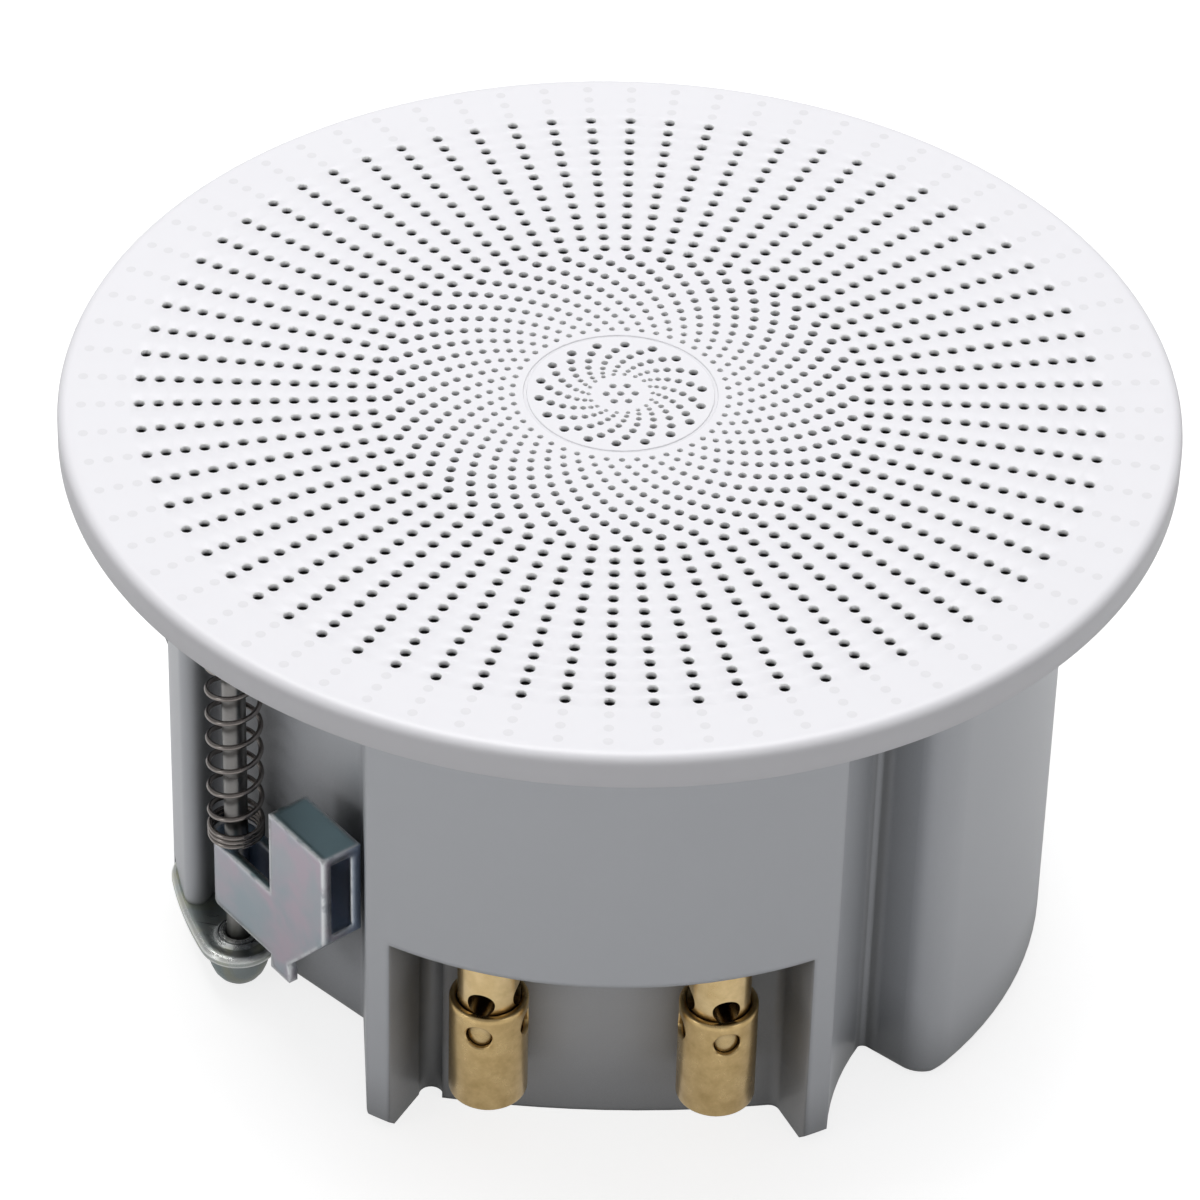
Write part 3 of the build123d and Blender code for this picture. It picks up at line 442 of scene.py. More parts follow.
for side, twist in (("left", -sleeve_turn), ("right", sleeve_turn)):
    low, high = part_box(f"terminal_sleeve_{side}")
    middle = box_middle(low, high)
    under, top = low.z / mm, high.z / mm
    hole = top - sleeve_hole_drop
    bm = bmesh.new()
    walls = []
    for radius, chamfer in ((sleeve_radius, sleeve_hole_chamfer), (sleeve_bore, 0.0)):
        place, drill, settle = sleeve_wall(middle, radius)
        cells = [(hole - sleeve_hole_reach, hole + sleeve_hole_reach, hole, sleeve_hole_radius + chamfer)]
        made = drilled_cells(
            bm, place, drill, cells, sleeve_holes, lambda along: twist, cell_side, settle, cell_steps
        )
        walls.append(made)
    (outer_low, outer_high, mouths), (inner_low, inner_high, bores) = walls
    drill = sleeve_wall(middle, sleeve_radius - sleeve_hole_chamfer)[1]
    for k, (mouth, bore) in enumerate(zip(mouths[0], bores[0])):
        throat = hole_ring(bm, drill, hole, twist + k * tau / sleeve_holes, sleeve_hole_radius, cell_side)
        skin(bm, mouth, throat)
        skin(bm, throat, bore, bore_shade_slot)
    start = twist - 0.5 * tau / sleeve_holes
    foot = [
        (0, under),
        (sleeve_radius - sleeve_chamfer - sleeve_edge, under),
        (sleeve_radius - sleeve_chamfer + sleeve_edge / 2, under + sleeve_edge / 2),
        (sleeve_radius - sleeve_edge / 2, under + sleeve_chamfer - sleeve_edge / 2),
        (sleeve_radius, under + sleeve_chamfer + sleeve_edge),
    ]
    skin(bm, turned_rings(bm, foot, sleeve_points, middle, start)[-1], outer_low)
    mouth_section = [
        (sleeve_radius, top - sleeve_edge),
        (sleeve_radius - sleeve_edge, top),
        (sleeve_lip_bore + sleeve_edge, top),
        (sleeve_lip_bore, top - sleeve_edge),
        (sleeve_lip_bore, top - sleeve_lip),
        (sleeve_bore, top - sleeve_lip),
    ]
    rings = turned_rings(bm, mouth_section, sleeve_points, middle, start)
    skin(bm, outer_high, rings[0])
    skin(bm, rings[-1], inner_high)
    floor_section = [(sleeve_bore, under + sleeve_floor), (0, under + sleeve_floor)]
    skin(bm, inner_low, turned_rings(bm, floor_section, sleeve_points, middle, start)[0])
    sleeve = dress(mesh_piece(f"brass_sleeve_{side}", bm, sharp=50.0), brass)
    sleeve.data.materials.append(shaded_bore_brass)
    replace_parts(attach(sleeve, f"sleeve_{side}"), f"terminal_sleeve_{side}")
    dress(nodes[f"terminal_post_{side}"], lit_post_brass)
    dress(soften_edges(nodes[f"terminal_nut_{side}"], 0.15), brass)

tinned = turned_metal("tinned_brass", (0.66, 0.63, 0.57), (0.56, 0.53, 0.47), (0.3, 0.5), 0.004 * mm)
for side in ("left", "right"):
    dress(soften_edges(nodes[f"solder_tag_{side}"], 0.1), tinned)


# Springs: drawn steel wire wound cold, with closed turns at both ends. The long ones sit on the
# clamp rods above the jaws, and the short ones push the terminal sleeves down.
def wire_coil(name, low, high, wire_radius, turns, foot_turns):
    """A round wire wound upwards in a box, with closed turns at its foot and one at its top."""
    steps_per_turn = 40
    sides = 12
    slack = 1.04
    easing = 0.1
    middle = box_middle(low, high)
    coil_radius = (high.x - low.x) / 2 / mm - wire_radius
    bottom = low.z / mm + wire_radius
    top = high.z / mm - wire_radius
    closed = 2 * wire_radius * slack
    pitch = (top - bottom - (foot_turns + 1) * closed) / (turns - foot_turns - 1)

    def height(turn):
        if turn < foot_turns:
            return bottom + closed * turn
        if turn > turns - 1:
            return top - closed * (turns - turn)
        return bottom + closed * foot_turns + pitch * (turn - foot_turns)

    bm = bmesh.new()
    rings = []
    for step in range(int(turns * steps_per_turn) + 1):
        turn = step / steps_per_turn
        eased = (height(turn - easing) + 2 * height(turn) + height(turn + easing)) / 4
        angle = tau * turn
        ring = []
        for k in range(sides):
            bend = tau * k / sides
            reach = coil_radius + wire_radius * cos(bend)
            x = middle[0] + reach * cos(angle)
            y = middle[1] + reach * sin(angle)
            z = min(max(eased, bottom), top) + wire_radius * sin(bend)
            ring.append(bm.verts.new((x * mm, y * mm, z * mm)))
        rings.append(ring)
    for first, second in zip(rings, rings[1:]):
        skin(bm, first, second)
    bm.faces.new(rings[0])
    bm.faces.new(rings[-1])
    return mesh_piece(name, bm, sharp=60.0)


def drawn_wire(name, bright, dull, roughness):
    """Drawn steel wire, streaked along and darker in patches."""
    made, tree, shader = new_material(name)
    lines = place_effect(tree, turned_lines, Fineness=3000.0, Blotch=320.0)
    face = color_mix(tree, lines.outputs["Blotches"], bright, dull)
    rough = value_range(tree, lines.outputs["Lines"], *roughness)
    normal = bump_from(tree, lines.outputs["Blotches"], 0.15, 0.01 * mm)
    set_inputs(shader, {"Base Color": face, "Roughness": rough, "Normal": normal, "Metallic": 1.0})
    return made


spring_steel = drawn_wire("bare_spring_steel", (0.36, 0.33, 0.31), (0.20, 0.18, 0.17), (0.16, 0.3))
clamp_wire_radius = 0.3
clamp_turns = 15
clamp_foot_turns = 3
terminal_wire_radius = 0.25
terminal_turns = 3.5
terminal_foot_turns = 1
for side in ("left", "right"):
    low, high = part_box(f"clamp_spring_{side}")
    spring = wire_coil(f"clamp_coil_{side}", low, high, clamp_wire_radius, clamp_turns, clamp_foot_turns)
    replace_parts(dress(spring, spring_steel), f"clamp_spring_{side}")
    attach(spring, f"screw_{side}")
    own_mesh(spring)

    low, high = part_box(f"terminal_spring_{side}")
    spring = wire_coil(
        f"terminal_coil_{side}", low, high, terminal_wire_radius, terminal_turns, terminal_foot_turns
    )
    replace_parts(dress(spring, spring_steel), f"terminal_spring_{side}")
    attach(spring, "speaker")
    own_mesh(spring)


# Clamps: a steel rod with a screw head under the cover, a folded jaw that swings out over the
# board, a foot plate that carries the rod and a domed nut below it. All but the rod are zinc plated.
def edge_wear_and_highlight_effect():
    """Edges where handling has rubbed the plating bright, with a highlight painted along them as well, and
    their eased normal.
    """
    group, given, made = new_effect(
        "edge_wear_and_highlight", {"Reach": 0.0005}, {"Mask": "NodeSocketFloat", "Normal": "NodeSocketVector"}
    )
    rounded = add_node(group, "ShaderNodeBevel", {"Radius": given.outputs["Reach"]}, samples=8)
    shape = add_node(group, "ShaderNodeNewGeometry")
    where = add_node(group, "ShaderNodeTexCoord").outputs["Object"]
    normals = {0: rounded.outputs["Normal"], 1: shape.outputs["Normal"]}
    agree = add_node(group, "ShaderNodeVectorMath", normals, operation="DOT_PRODUCT")
    turned = mask_between(group, agree.outputs["Value"], 0.985, 0.82)
    patchy = add_node(group, "ShaderNodeTexNoise", {"Vector": where, "Scale": 700.0, "Detail": 3.0})
    kept = mask_between(group, patchy.outputs["Fac"], 0.25, 0.5)
    product = add_node(group, "ShaderNodeMath", {0: turned, 1: kept}, operation="MULTIPLY")
    set_inputs(made, {"Mask": product.outputs["Value"], "Normal": rounded.outputs["Normal"]})
    return group


def plating_bloom_effect():
    """Clouds of tint in a passivated zinc plating: a base, a blush and a cool tone."""
    group, given, made = new_effect(
        "plating_bloom",
        {
            "Base": (0.6, 0.6, 0.63, 1.0),
            "Blush": (0.62, 0.5, 0.58, 1.0),
            "Cool": (0.42, 0.55, 0.6, 1.0),
            "Scale": 120.0,
        },
        {"Color": "NodeSocketColor", "Cloud": "NodeSocketFloat"},
    )
    where = add_node(group, "ShaderNodeTexCoord").outputs["Object"]
    move = {0: where, 1: (0.31, 0.17, 0.23)}
    moved = add_node(group, "ShaderNodeVectorMath", move, operation="ADD").outputs["Vector"]
    scale = given.outputs["Scale"]
    large = {"Vector": where, "Scale": scale, "Detail": 4.0, "Roughness": 0.6, "Distortion": 0.6}
    small = {"Vector": moved, "Scale": scale, "Detail": 3.0, "Roughness": 0.55, "Distortion": 0.4}
    first = add_node(group, "ShaderNodeTexNoise", large).outputs["Fac"]
    second = add_node(group, "ShaderNodeTexNoise", small).outputs["Fac"]
    blush = mask_between(group, first, 0.42, 0.62)
    cool = mask_between(group, second, 0.46, 0.66)
    warm = color_mix(group, blush, given.outputs["Base"], given.outputs["Blush"])
    tint = color_mix(group, cool, warm, given.outputs["Cool"])
    set_inputs(made, {"Color": tint, "Cloud": first})
    return group


edge_wear_and_highlight = edge_wear_and_highlight_effect()
plating_bloom = plating_bloom_effect()


def rub_and_highlight_edges(node, width, material):
    """Rounds the edges of a piece and gives the rounding a material of its own, a lighter copy that is
    partly rubbed plating and partly a painted highlight.
    """
    rubbed_highlight_slot = len(node.data.materials)
    node.data.materials.append(material)
    soften_edges(node, width).modifiers["rounded_edges"].material = rubbed_highlight_slot
    return node


def zinc_plate(name, base, blush, cool, painted_nook_shade, rubbed_and_highlight, roughness, painted_top_shade=None):
    """Passivated zinc on folded steel: tinted clouds, fine spangle, edges rubbed bright with a painted
    highlight, painted shade in nooks and a darker painted tint on faces that look up.
    """
    made, tree, shader = new_material(name)
    tints = {"Base": (*base, 1.0), "Blush": (*blush, 1.0), "Cool": (*cool, 1.0)}
    bloom = place_effect(tree, plating_bloom, Scale=130.0, **tints)
    grain = place_effect(tree, moulded_grain, Scale=2600.0)
    edge = place_effect(tree, edge_wear_and_highlight, Reach=1.3 * mm)
    hollow = place_effect(tree, hollow_shade, Reach=4.0 * mm, Open=0.6).outputs["Mask"]
    face = bloom.outputs["Color"]
    # Painted shade: faces that look up take a darker tint.
    if painted_top_shade:
        shape = add_node(tree, "ShaderNodeNewGeometry")
        axes = add_node(tree, "ShaderNodeSeparateXYZ", {"Vector": shape.outputs["True Normal"]})
        face = color_mix(tree, value_range(tree, axes.outputs["Z"], -0.6, 1.0), face, painted_top_shade)
    # Rubbed plating and a painted highlight along the edges.
    face = color_mix(tree, edge.outputs["Mask"], face, rubbed_and_highlight)
    # Painted shade in nooks.
    face = color_mix(tree, hollow, face, painted_nook_shade)
    rough = value_range(tree, bloom.outputs["Cloud"], *roughness)
    normal = bump_from(tree, grain.outputs["Height"], 0.4, 0.025 * mm)
    set_inputs(normal.node, {"Normal": edge.outputs["Normal"]})
    # Painted shade: in nooks the metal gives way to the dull nook colour.
    metal = value_range(tree, hollow, 1.0, 0.15)
    set_inputs(shader, {"Base Color": face, "Roughness": rough, "Normal": normal, "Metallic": metal})
    return made


def turned_piece(name, section, count, middle=(0.0, 0.0), sharp=40.0):
    """A solid turned from a closed section."""
    bm = bmesh.new()
    rings = turned_rings(bm, section, count, middle)
    if len(rings[0]) > 1 or len(rings[-1]) > 1:
        skin(bm, rings[-1], rings[0])
    return mesh_piece(name, bm, sharp)


jaw_zinc = zinc_plate(
    "jaw_zinc",
    base=(0.42, 0.43, 0.47),
    blush=(0.48, 0.42, 0.48),
    cool=(0.36, 0.42, 0.46),
    # Painted shade and a painted bluish reflection in the jaw's slot and nooks.
    painted_nook_shade=(0.34, 0.48, 0.70),
    rubbed_and_highlight=(0.86, 0.88, 0.90),
    roughness=(0.26, 0.4),
    # Painted darker teal on the jaw's top faces.
    painted_top_shade=(0.30, 0.43, 0.46),
)
foot_zinc = zinc_plate(
    "foot_plate_zinc",
    base=(0.46, 0.49, 0.47),
    blush=(0.50, 0.50, 0.34),
    cool=(0.36, 0.44, 0.45),
    # Painted shade in the foot plate's nooks.
    painted_nook_shade=(0.06, 0.07, 0.07),
    rubbed_and_highlight=(0.80, 0.82, 0.80),
    roughness=(0.2, 0.4),
)
# Lighter zinc for the foot plate's rounded edges: rubbed plating and a painted highlight, with painted shade
# in nooks.
rubbed_highlight_zinc = zinc_plate(
    "rubbed_highlight_zinc",
    base=(0.80, 0.82, 0.80),
    blush=(0.82, 0.82, 0.72),
    cool=(0.74, 0.80, 0.80),
    painted_nook_shade=(0.20, 0.22, 0.22),
    rubbed_and_highlight=(0.86, 0.88, 0.88),
    roughness=(0.2, 0.36),
)
nut_zinc = zinc_plate(
    "nut_zinc",
    base=(0.25, 0.28, 0.28),
    blush=(0.30, 0.30, 0.22),
    cool=(0.18, 0.26, 0.27),
    # Painted shade in the nut's nooks.
    painted_nook_shade=(0.05, 0.06, 0.06),
    rubbed_and_highlight=(0.45, 0.47, 0.46),
    roughness=(0.2, 0.36),
)
rod_steel = drawn_wire("drawn_rod_steel", (0.30, 0.29, 0.28), (0.20, 0.195, 0.19), (0.24, 0.36))
nut_radius = 3.25
nut_skirt = 2.3
nut_bore = 1.35
nut_edge = 0.3
nut_top_chamfer = 0.2
nut_bore_chamfer = 0.15
nut_dome_step = 0.1
nut_dome = ((0, 0), (0.9, 0.08), (1.7, 0.42), (2.35, 1.05), (2.85, 1.8))
nut_points = 48
for side in ("left", "right"):
    dress(nodes[f"clamp_screw_{side}"], rod_steel)
    dress(nodes[f"clamp_jaw_{side}"], jaw_zinc)
    rub_and_highlight_edges(dress(nodes[f"foot_plate_{side}"], foot_zinc), 0.5, rubbed_highlight_zinc)
    low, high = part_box(f"clamp_nut_{side}")
    middle = box_middle(low, high)
    bore_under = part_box(f"clamp_screw_{side}")[0].z / mm
    top, tip = high.z / mm, low.z / mm
    dome = [(radius, tip + rise) for radius, rise in nut_dome]
    dome += [(nut_radius - nut_dome_step, top - nut_skirt), (nut_radius, top - nut_skirt + nut_edge)]
    collar = [(nut_radius, top - nut_edge), (nut_radius - nut_top_chamfer, top)]
    collar += [(nut_bore + nut_bore_chamfer, top), (nut_bore, top - nut_bore_chamfer)]
    bore = [(nut_bore, bore_under), (0, bore_under)]
    nut = turned_piece(f"domed_nut_{side}", dome + collar + bore, nut_points, middle, sharp=55.0)
    dress(nut, nut_zinc)
    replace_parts(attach(nut, f"screw_{side}"), f"clamp_nut_{side}")
dress(nodes["foot_plate_screws"], foot_zinc)


# Driver: a small full-range loudspeaker screwed to the back of the deck. A pressed steel basket
# carries a steel motor cup with its magnet, and a copper voice coil on a foil former stands in it.
black_paint = moulded_plastic(
    "black_stove_paint", (0.022, 0.022, 0.024), (0.03, 0.03, 0.032), (0.3, 0.5), 0.02 * mm
)
dress(soften_edges(nodes["driver_basket"], 0.3), black_paint)
motor_steel = turned_metal(
    "plated_motor_steel", (0.58, 0.58, 0.59), (0.48, 0.48, 0.5), (0.25, 0.4), 0.004 * mm
)
for name in ("motor_yoke", "magnet_disc", "pole_plate", "driver_screws"):
    dress(soften_edges(nodes[name], 0.25), motor_steel)
coil_foil = turned_metal("former_foil", (0.74, 0.74, 0.75), (0.66, 0.66, 0.67), (0.2, 0.35), 0.002 * mm)
dress(soften_edges(nodes["voice_coil_former"], 0.05), coil_foil)
coil_copper = turned_metal("enamelled_copper", (0.66, 0.28, 0.12), (0.5, 0.2, 0.09), (0.25, 0.35), 0.03 * mm)
dress(soften_edges(nodes["voice_coil_winding"], 0.1), coil_copper)


# Wiring: a strip of brown laminate on the basket, and two plastic sheathed leads that are soldered
# to it and to the tags of the push terminals.
strip_laminate = moulded_plastic(
    "brown_laminate", (0.30, 0.17, 0.08), (0.24, 0.13, 0.06), (0.4, 0.6), 0.02 * mm
)
dress(soften_edges(nodes["driver_terminal_strip"], 0.15), strip_laminate)
lead_sheath = moulded_plastic(
    "lead_sheath", (0.05, 0.05, 0.05), (0.035, 0.035, 0.035), (0.4, 0.5), 0.01 * mm
)
for side in ("left", "right"):
    dress(soften_edges(nodes[f"lead_{side}"], 0.1), lead_sheath)


# Cone and suspension: a pressed paper cone with its dust cap, hung from a rubber roll at the rim
# and a corrugated cloth spider at the neck. All are thin sheets, glued at their edges.
cone_paper = moulded_plastic(
    "pressed_cone_paper", (0.05, 0.05, 0.052), (0.035, 0.035, 0.037), (0.7, 0.9), 0.06 * mm
)
roll_rubber = moulded_plastic(
    "roll_rubber", (0.028, 0.028, 0.028), (0.02, 0.02, 0.02), (0.45, 0.6), 0.01 * mm
)
spider_cloth = moulded_plastic(
    "spider_cloth", (0.40, 0.24, 0.10), (0.32, 0.18, 0.07), (0.75, 0.9), 0.08 * mm
)
sheet = 0.4
sheet_points = 96


def shares(count):
    """Even steps from 0 to 1."""
    return [k / count for k in range(count + 1)]


def sheet_piece(name, line, thickness):
    """A thin turned sheet that follows a line of (radius, height) corners."""
    upper = [(radius, height + thickness) for radius, height in reversed(line)]
    return turned_piece(name, line + upper, sheet_points, sharp=60.0)


low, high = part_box("cone")
neck, rim = 7.2, high.x / mm
slope = shares(12)
line = [(neck + (rim - neck) * s, low.z / mm + (high.z / mm - sheet - low.z / mm) * s) for s in slope]
cone = dress(sheet_piece("speaker_cone", line, sheet), cone_paper)
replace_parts(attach(cone, "cone_assembly"), "cone")

low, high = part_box("dust_cap")
reach = high.x / mm
rise = (high.z - low.z) / mm - sheet
line = [(reach * s, low.z / mm + rise * (1 - s * s)) for s in slope]
cap = dress(sheet_piece("cone_dust_cap", line, sheet), cone_paper)
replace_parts(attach(cap, "cone_assembly"), "dust_cap")

low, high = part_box("surround")
roll_inner, roll_outer, lip = 22.0, 24.6, high.x / mm
base = low.z / mm
rise = (high.z - low.z) / mm - sheet
arch = shares(14)
line = [(roll_inner + (roll_outer - roll_inner) * s, base + rise * sin(pi * s)) for s in arch]
surround = dress(sheet_piece("surround_roll", line + [(lip, base)], sheet), roll_rubber)
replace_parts(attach(surround, "speaker"), "surround")

low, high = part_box("spider")
bore, reach = 7.3, high.x / mm
rise = (high.z - low.z) / mm - sheet
waves = 4
ripple = shares(64)
line = [
    (bore + (reach - bore) * s, low.z / mm + rise * (0.5 - 0.5 * cos(tau * waves * s))) for s in ripple
]
spider = dress(sheet_piece("corrugated_spider", line, sheet), spider_cloth)
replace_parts(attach(spider, "speaker"), "spider")


# Scrim: open weave black cloth that keeps dust off the driver. It is cut round, laid behind the
# cover and held by its edge between the cover and the frame's ring.
def woven_cloth(name, pale, deep, thread):
    """Plain weave: two crossed sets of threads with dark gaps between them."""
    made, tree, shader = new_material(name)
    where = add_node(tree, "ShaderNodeTexCoord").outputs["Object"]
    threads = {"Vector": where, "Scale": 0.5 / thread}
    warp = add_node(tree, "ShaderNodeTexWave", threads, bands_direction="X")
    weft = add_node(tree, "ShaderNodeTexWave", threads, bands_direction="Y")
    crossed = {0: warp.outputs["Fac"], 1: weft.outputs["Fac"]}
    top = add_node(tree, "ShaderNodeMath", crossed, operation="MAXIMUM").outputs["Value"]
    face = color_mix(tree, top, deep, pale)
    normal = bump_from(tree, top, 0.6, 0.1 * mm)
    set_inputs(shader, {"Base Color": face, "Roughness": 0.95, "Normal": normal})
    return made


scrim_weave = woven_cloth("scrim_weave", (0.10, 0.10, 0.105), (0.03, 0.03, 0.03), 0.3 * mm)
scrim_edge = 0.1
scrim_rings = (40.0, 20.0, 0)
scrim_points = 128
low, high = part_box("scrim_cloth")
scrim_radius = high.x / mm
under, top = low.z / mm, high.z / mm
section = [(0, under), (scrim_radius - scrim_edge, under)]
section += [(scrim_radius, (under + top) / 2), (scrim_radius - scrim_edge, top)]
section += [(radius, top) for radius in scrim_rings]
scrim = dress(turned_piece("scrim_disc", section, scrim_points), scrim_weave)
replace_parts(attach(scrim, "speaker"), "scrim_cloth")


# Cover: the round white face that shows below the ceiling, one satin moulding that snaps over
# the frame. Its holes run in rays outside, in spiral arms inside them and in curls at the middle.
cover_radius = 60.0
cover_top = 68.0
cover_under = 66.4
skirt_under = 64.0
skirt_bore = 58.0
rim_rounding = 1.2
skirt_edge = 0.25
hole_edge = 0.05
hole_land = 0.55
ray_count = 72
ray_rows = 13
blind_rows = 3
ray_step = 2.055
ray_first = 26.6
ray_hole = 0.65
ray_flare = 0.84
ray_ends = (25.8, 58.4)
ray_phase = radians(-0.39)
arm_count = 45
arm_rows = 12
arm_step = 1.212
arm_first = 11.574
arm_hole = 0.35
arm_hole_growth = 0.0215
arm_ends = (10.96, 25.7)
arm_phase = radians(-0.46)
arm_turn = radians(3.0)
curl_count = 18
curl_middles = (3.42, 4.05, 4.8, 5.67, 6.63, 7.68, 8.76)
curl_holes = (0.27, 0.30, 0.34, 0.39, 0.44, 0.49, 0.55)
curl_ends = (3.1, 9.45)
curl_phase = radians(5.8)
curl_start = 3.12
curl_turn = radians(-404.0 / cover_radius)
hub_count = 6
hub_middle = 1.55
hub_hole = 0.42
hub_ends = (0.78, 2.32)
hub_phase = radians(4.0)
centre_points = 12
cover_cell_side = 3
bead_outer = 10.45
bead_inner = 10.0
bead_slope = 0.09
bead_depth = 0.14
dimple_depth = 0.02
dimple_radius = 0.55
dimple_floor_share = 0.55


def arc_corners(middle, radius, start, stop, steps):
    """(radius, height) corners along an arc of a section, between two angles in degrees."""
    corners = []
    for step in range(steps + 1):
        angle = radians(start + (stop - start) * step / steps)
        corners.append((middle[0] + radius * cos(angle), middle[1] + radius * sin(angle)))
    return corners


def drilled_rows(middles, radii, ends):
    """Rows of holes with the edge between two rows midway between their holes."""
    edges = [ends[0]]
    for a, b, near, far in zip(middles, middles[1:], radii, radii[1:]):
        edges.append((a + near + b - far) / 2)
    edges.append(ends[1])
    return list(zip(edges, edges[1:], middles, radii))


def zip_rings(bm, first, second):
    """Triangles between two rings of different counts."""
    nearest = min(range(len(second)), key=lambda k: (second[k].co - first[0].co).length_squared)
    second = second[nearest:] + second[:nearest]
    i = j = 0
    while i < len(first) or j < len(second):
        a = first[i % len(first)]
        b = second[j % len(second)]
        if j == len(second) or (i < len(first) and (i + 1) * len(second) <= (j + 1) * len(first)):
            i += 1
            bm.faces.new((a, b, first[i % len(first)]))
        else:
            j += 1
            bm.faces.new((a, b, second[j % len(second)]))


def flat_face(height):
    """Points on a level face of the cover, and points round a hole in it."""
    def place(along, angle):
        return (along * cos(angle) * mm, along * sin(angle) * mm, height * mm)

    def drill(along, angle, across, out):
        x = (along + out) * cos(angle) - across * sin(angle)
        y = (along + out) * sin(angle) + across * cos(angle)
        return (x * mm, y * mm, height * mm)

    return place, drill


def shifted(bm, ring, scale, height):
    """A copy of a ring, drawn in towards its middle and set at another height."""
    middle = sum((v.co for v in ring), Vector()) / len(ring)
    made = []
    for v in ring:
        point = middle + (v.co - middle) * scale
        made.append(bm.verts.new((point.x, point.y, height * mm)))
    return made


def ring_at(bm, ring, radius, height):
    """A ring round the cover's axis, in step with another one."""
    made = []
    for v in ring:
        flat = Vector((v.co.x, v.co.y)).normalized() * radius * mm
        made.append(bm.verts.new((flat.x, flat.y, height * mm)))
    return made


def twist_by(phase, turn=0.0, start=0.0, step=1.0):
    """Angle of a row of holes, which goes on by turn with each step outward from start."""
    return lambda along: phase + turn * (along - start) / step


ray_middles = [ray_first + ray_step * k for k in range(ray_rows + blind_rows)]
ray_radii = [ray_hole] * ray_rows + [dimple_radius] * blind_rows
ray_cells = drilled_rows(ray_middles, ray_radii, ray_ends)
ray_flared = [(*row[:3], ray_flare) for row in ray_cells[:ray_rows]]
arm_middles = [arm_first + arm_step * k for k in range(arm_rows)]
arm_radii = [arm_hole + arm_hole_growth * k for k in range(arm_rows)]
arm_cells = drilled_rows(arm_middles, arm_radii, arm_ends)
curl_cells = drilled_rows(curl_middles, curl_holes, curl_ends)
hub_cells = drilled_rows([hub_middle], [hub_hole], hub_ends)
zones = (
    (ray_count, twist_by(ray_phase), ray_cells, ray_flared),
    (arm_count, twist_by(arm_phase, arm_turn, arm_first, arm_step), arm_cells, arm_cells),
    (curl_count, twist_by(curl_phase, curl_turn, curl_start), curl_cells, curl_cells),
    (hub_count, twist_by(hub_phase), hub_cells, hub_cells),
)
rays, arms, curls, hub = range(len(zones))
wall_slot = 1
sink_and_shade_slot = 2
bm = bmesh.new()
inner, outer, openings = {}, {}, {}
for height in (cover_top, cover_under):
    for zone, (count, twist, top_cells, under_cells) in enumerate(zones):
        cells = top_cells if height == cover_top else under_cells
        made = drilled_cells(bm, *flat_face(height), cells, count, twist, cover_cell_side)
        inner[height, zone], outer[height, zone], openings[height, zone] = made
for zone in range(len(zones)):
    for mouth_row, end_row in zip(openings[cover_top, zone], openings[cover_under, zone]):
        for mouth, end in zip(mouth_row, end_row):
            if zone != rays:
                skin(bm, mouth, end, wall_slot)
                continue
            throat = shifted(bm, mouth, 1 - hole_edge / ray_hole, cover_top - hole_edge)
            waist = shifted(bm, throat, 1.0, cover_top - hole_land)
            skin(bm, mouth, throat, wall_slot)
            skin(bm, throat, waist, wall_slot)
            skin(bm, waist, end, wall_slot)
for dimple_row in openings[cover_top, rays][ray_rows:]:
    for dimple in dimple_row:
        bowl = shifted(bm, dimple, dimple_floor_share, cover_top - dimple_depth)
        skin(bm, dimple, bowl, sink_and_shade_slot)
        bm.faces.new(bowl).material_index = sink_and_shade_slot
centre_holes = []
for height in (cover_top, cover_under):
    place = flat_face(height)[0]
    bearings = [hub_phase + tau * k / centre_points for k in range(centre_points)]
    centre_hole = [bm.verts.new(place(hub_hole, bearing)) for bearing in bearings]
    centre_holes.append(centre_hole)
    zip_rings(bm, centre_hole, inner[height, hub])
    zip_rings(bm, outer[height, hub], inner[height, curls])
    zip_rings(bm, outer[height, arms], inner[height, rays])
skin(bm, *centre_holes, wall_slot)
arm_inner = inner[cover_top, arms]
bead = [
    ring_at(bm, arm_inner, bead_outer, cover_top),
    ring_at(bm, arm_inner, bead_outer - bead_slope, cover_top - bead_depth),
    ring_at(bm, arm_inner, bead_inner + bead_slope, cover_top - bead_depth),
    ring_at(bm, arm_inner, bead_inner, cover_top),
]
skin(bm, arm_inner, bead[0])
# The bead's groove takes the darker sink colour as painted shade.
for first, second in zip(bead, bead[1:]):
    skin(bm, first, second, sink_and_shade_slot)
zip_rings(bm, outer[cover_top, curls], bead[-1])
zip_rings(bm, outer[cover_under, curls], inner[cover_under, arms])
rim_loop = outer[cover_top, rays]
rim_middle = (cover_radius - rim_rounding, cover_top - rim_rounding)
section = arc_corners(rim_middle, rim_rounding, start=90, stop=0, steps=8)
section += [(cover_radius, skirt_under + skirt_edge), (cover_radius - skirt_edge, skirt_under)]
section += [(skirt_bore + skirt_edge, skirt_under), (skirt_bore, skirt_under + skirt_edge)]
section += [(skirt_bore, cover_under)]
rings = [ring_at(bm, rim_loop, radius, height) for radius, height in section]
for first, second in zip([rim_loop] + rings, rings):
    skin(bm, first, second)
skin(bm, rings[-1], outer[cover_under, rays])


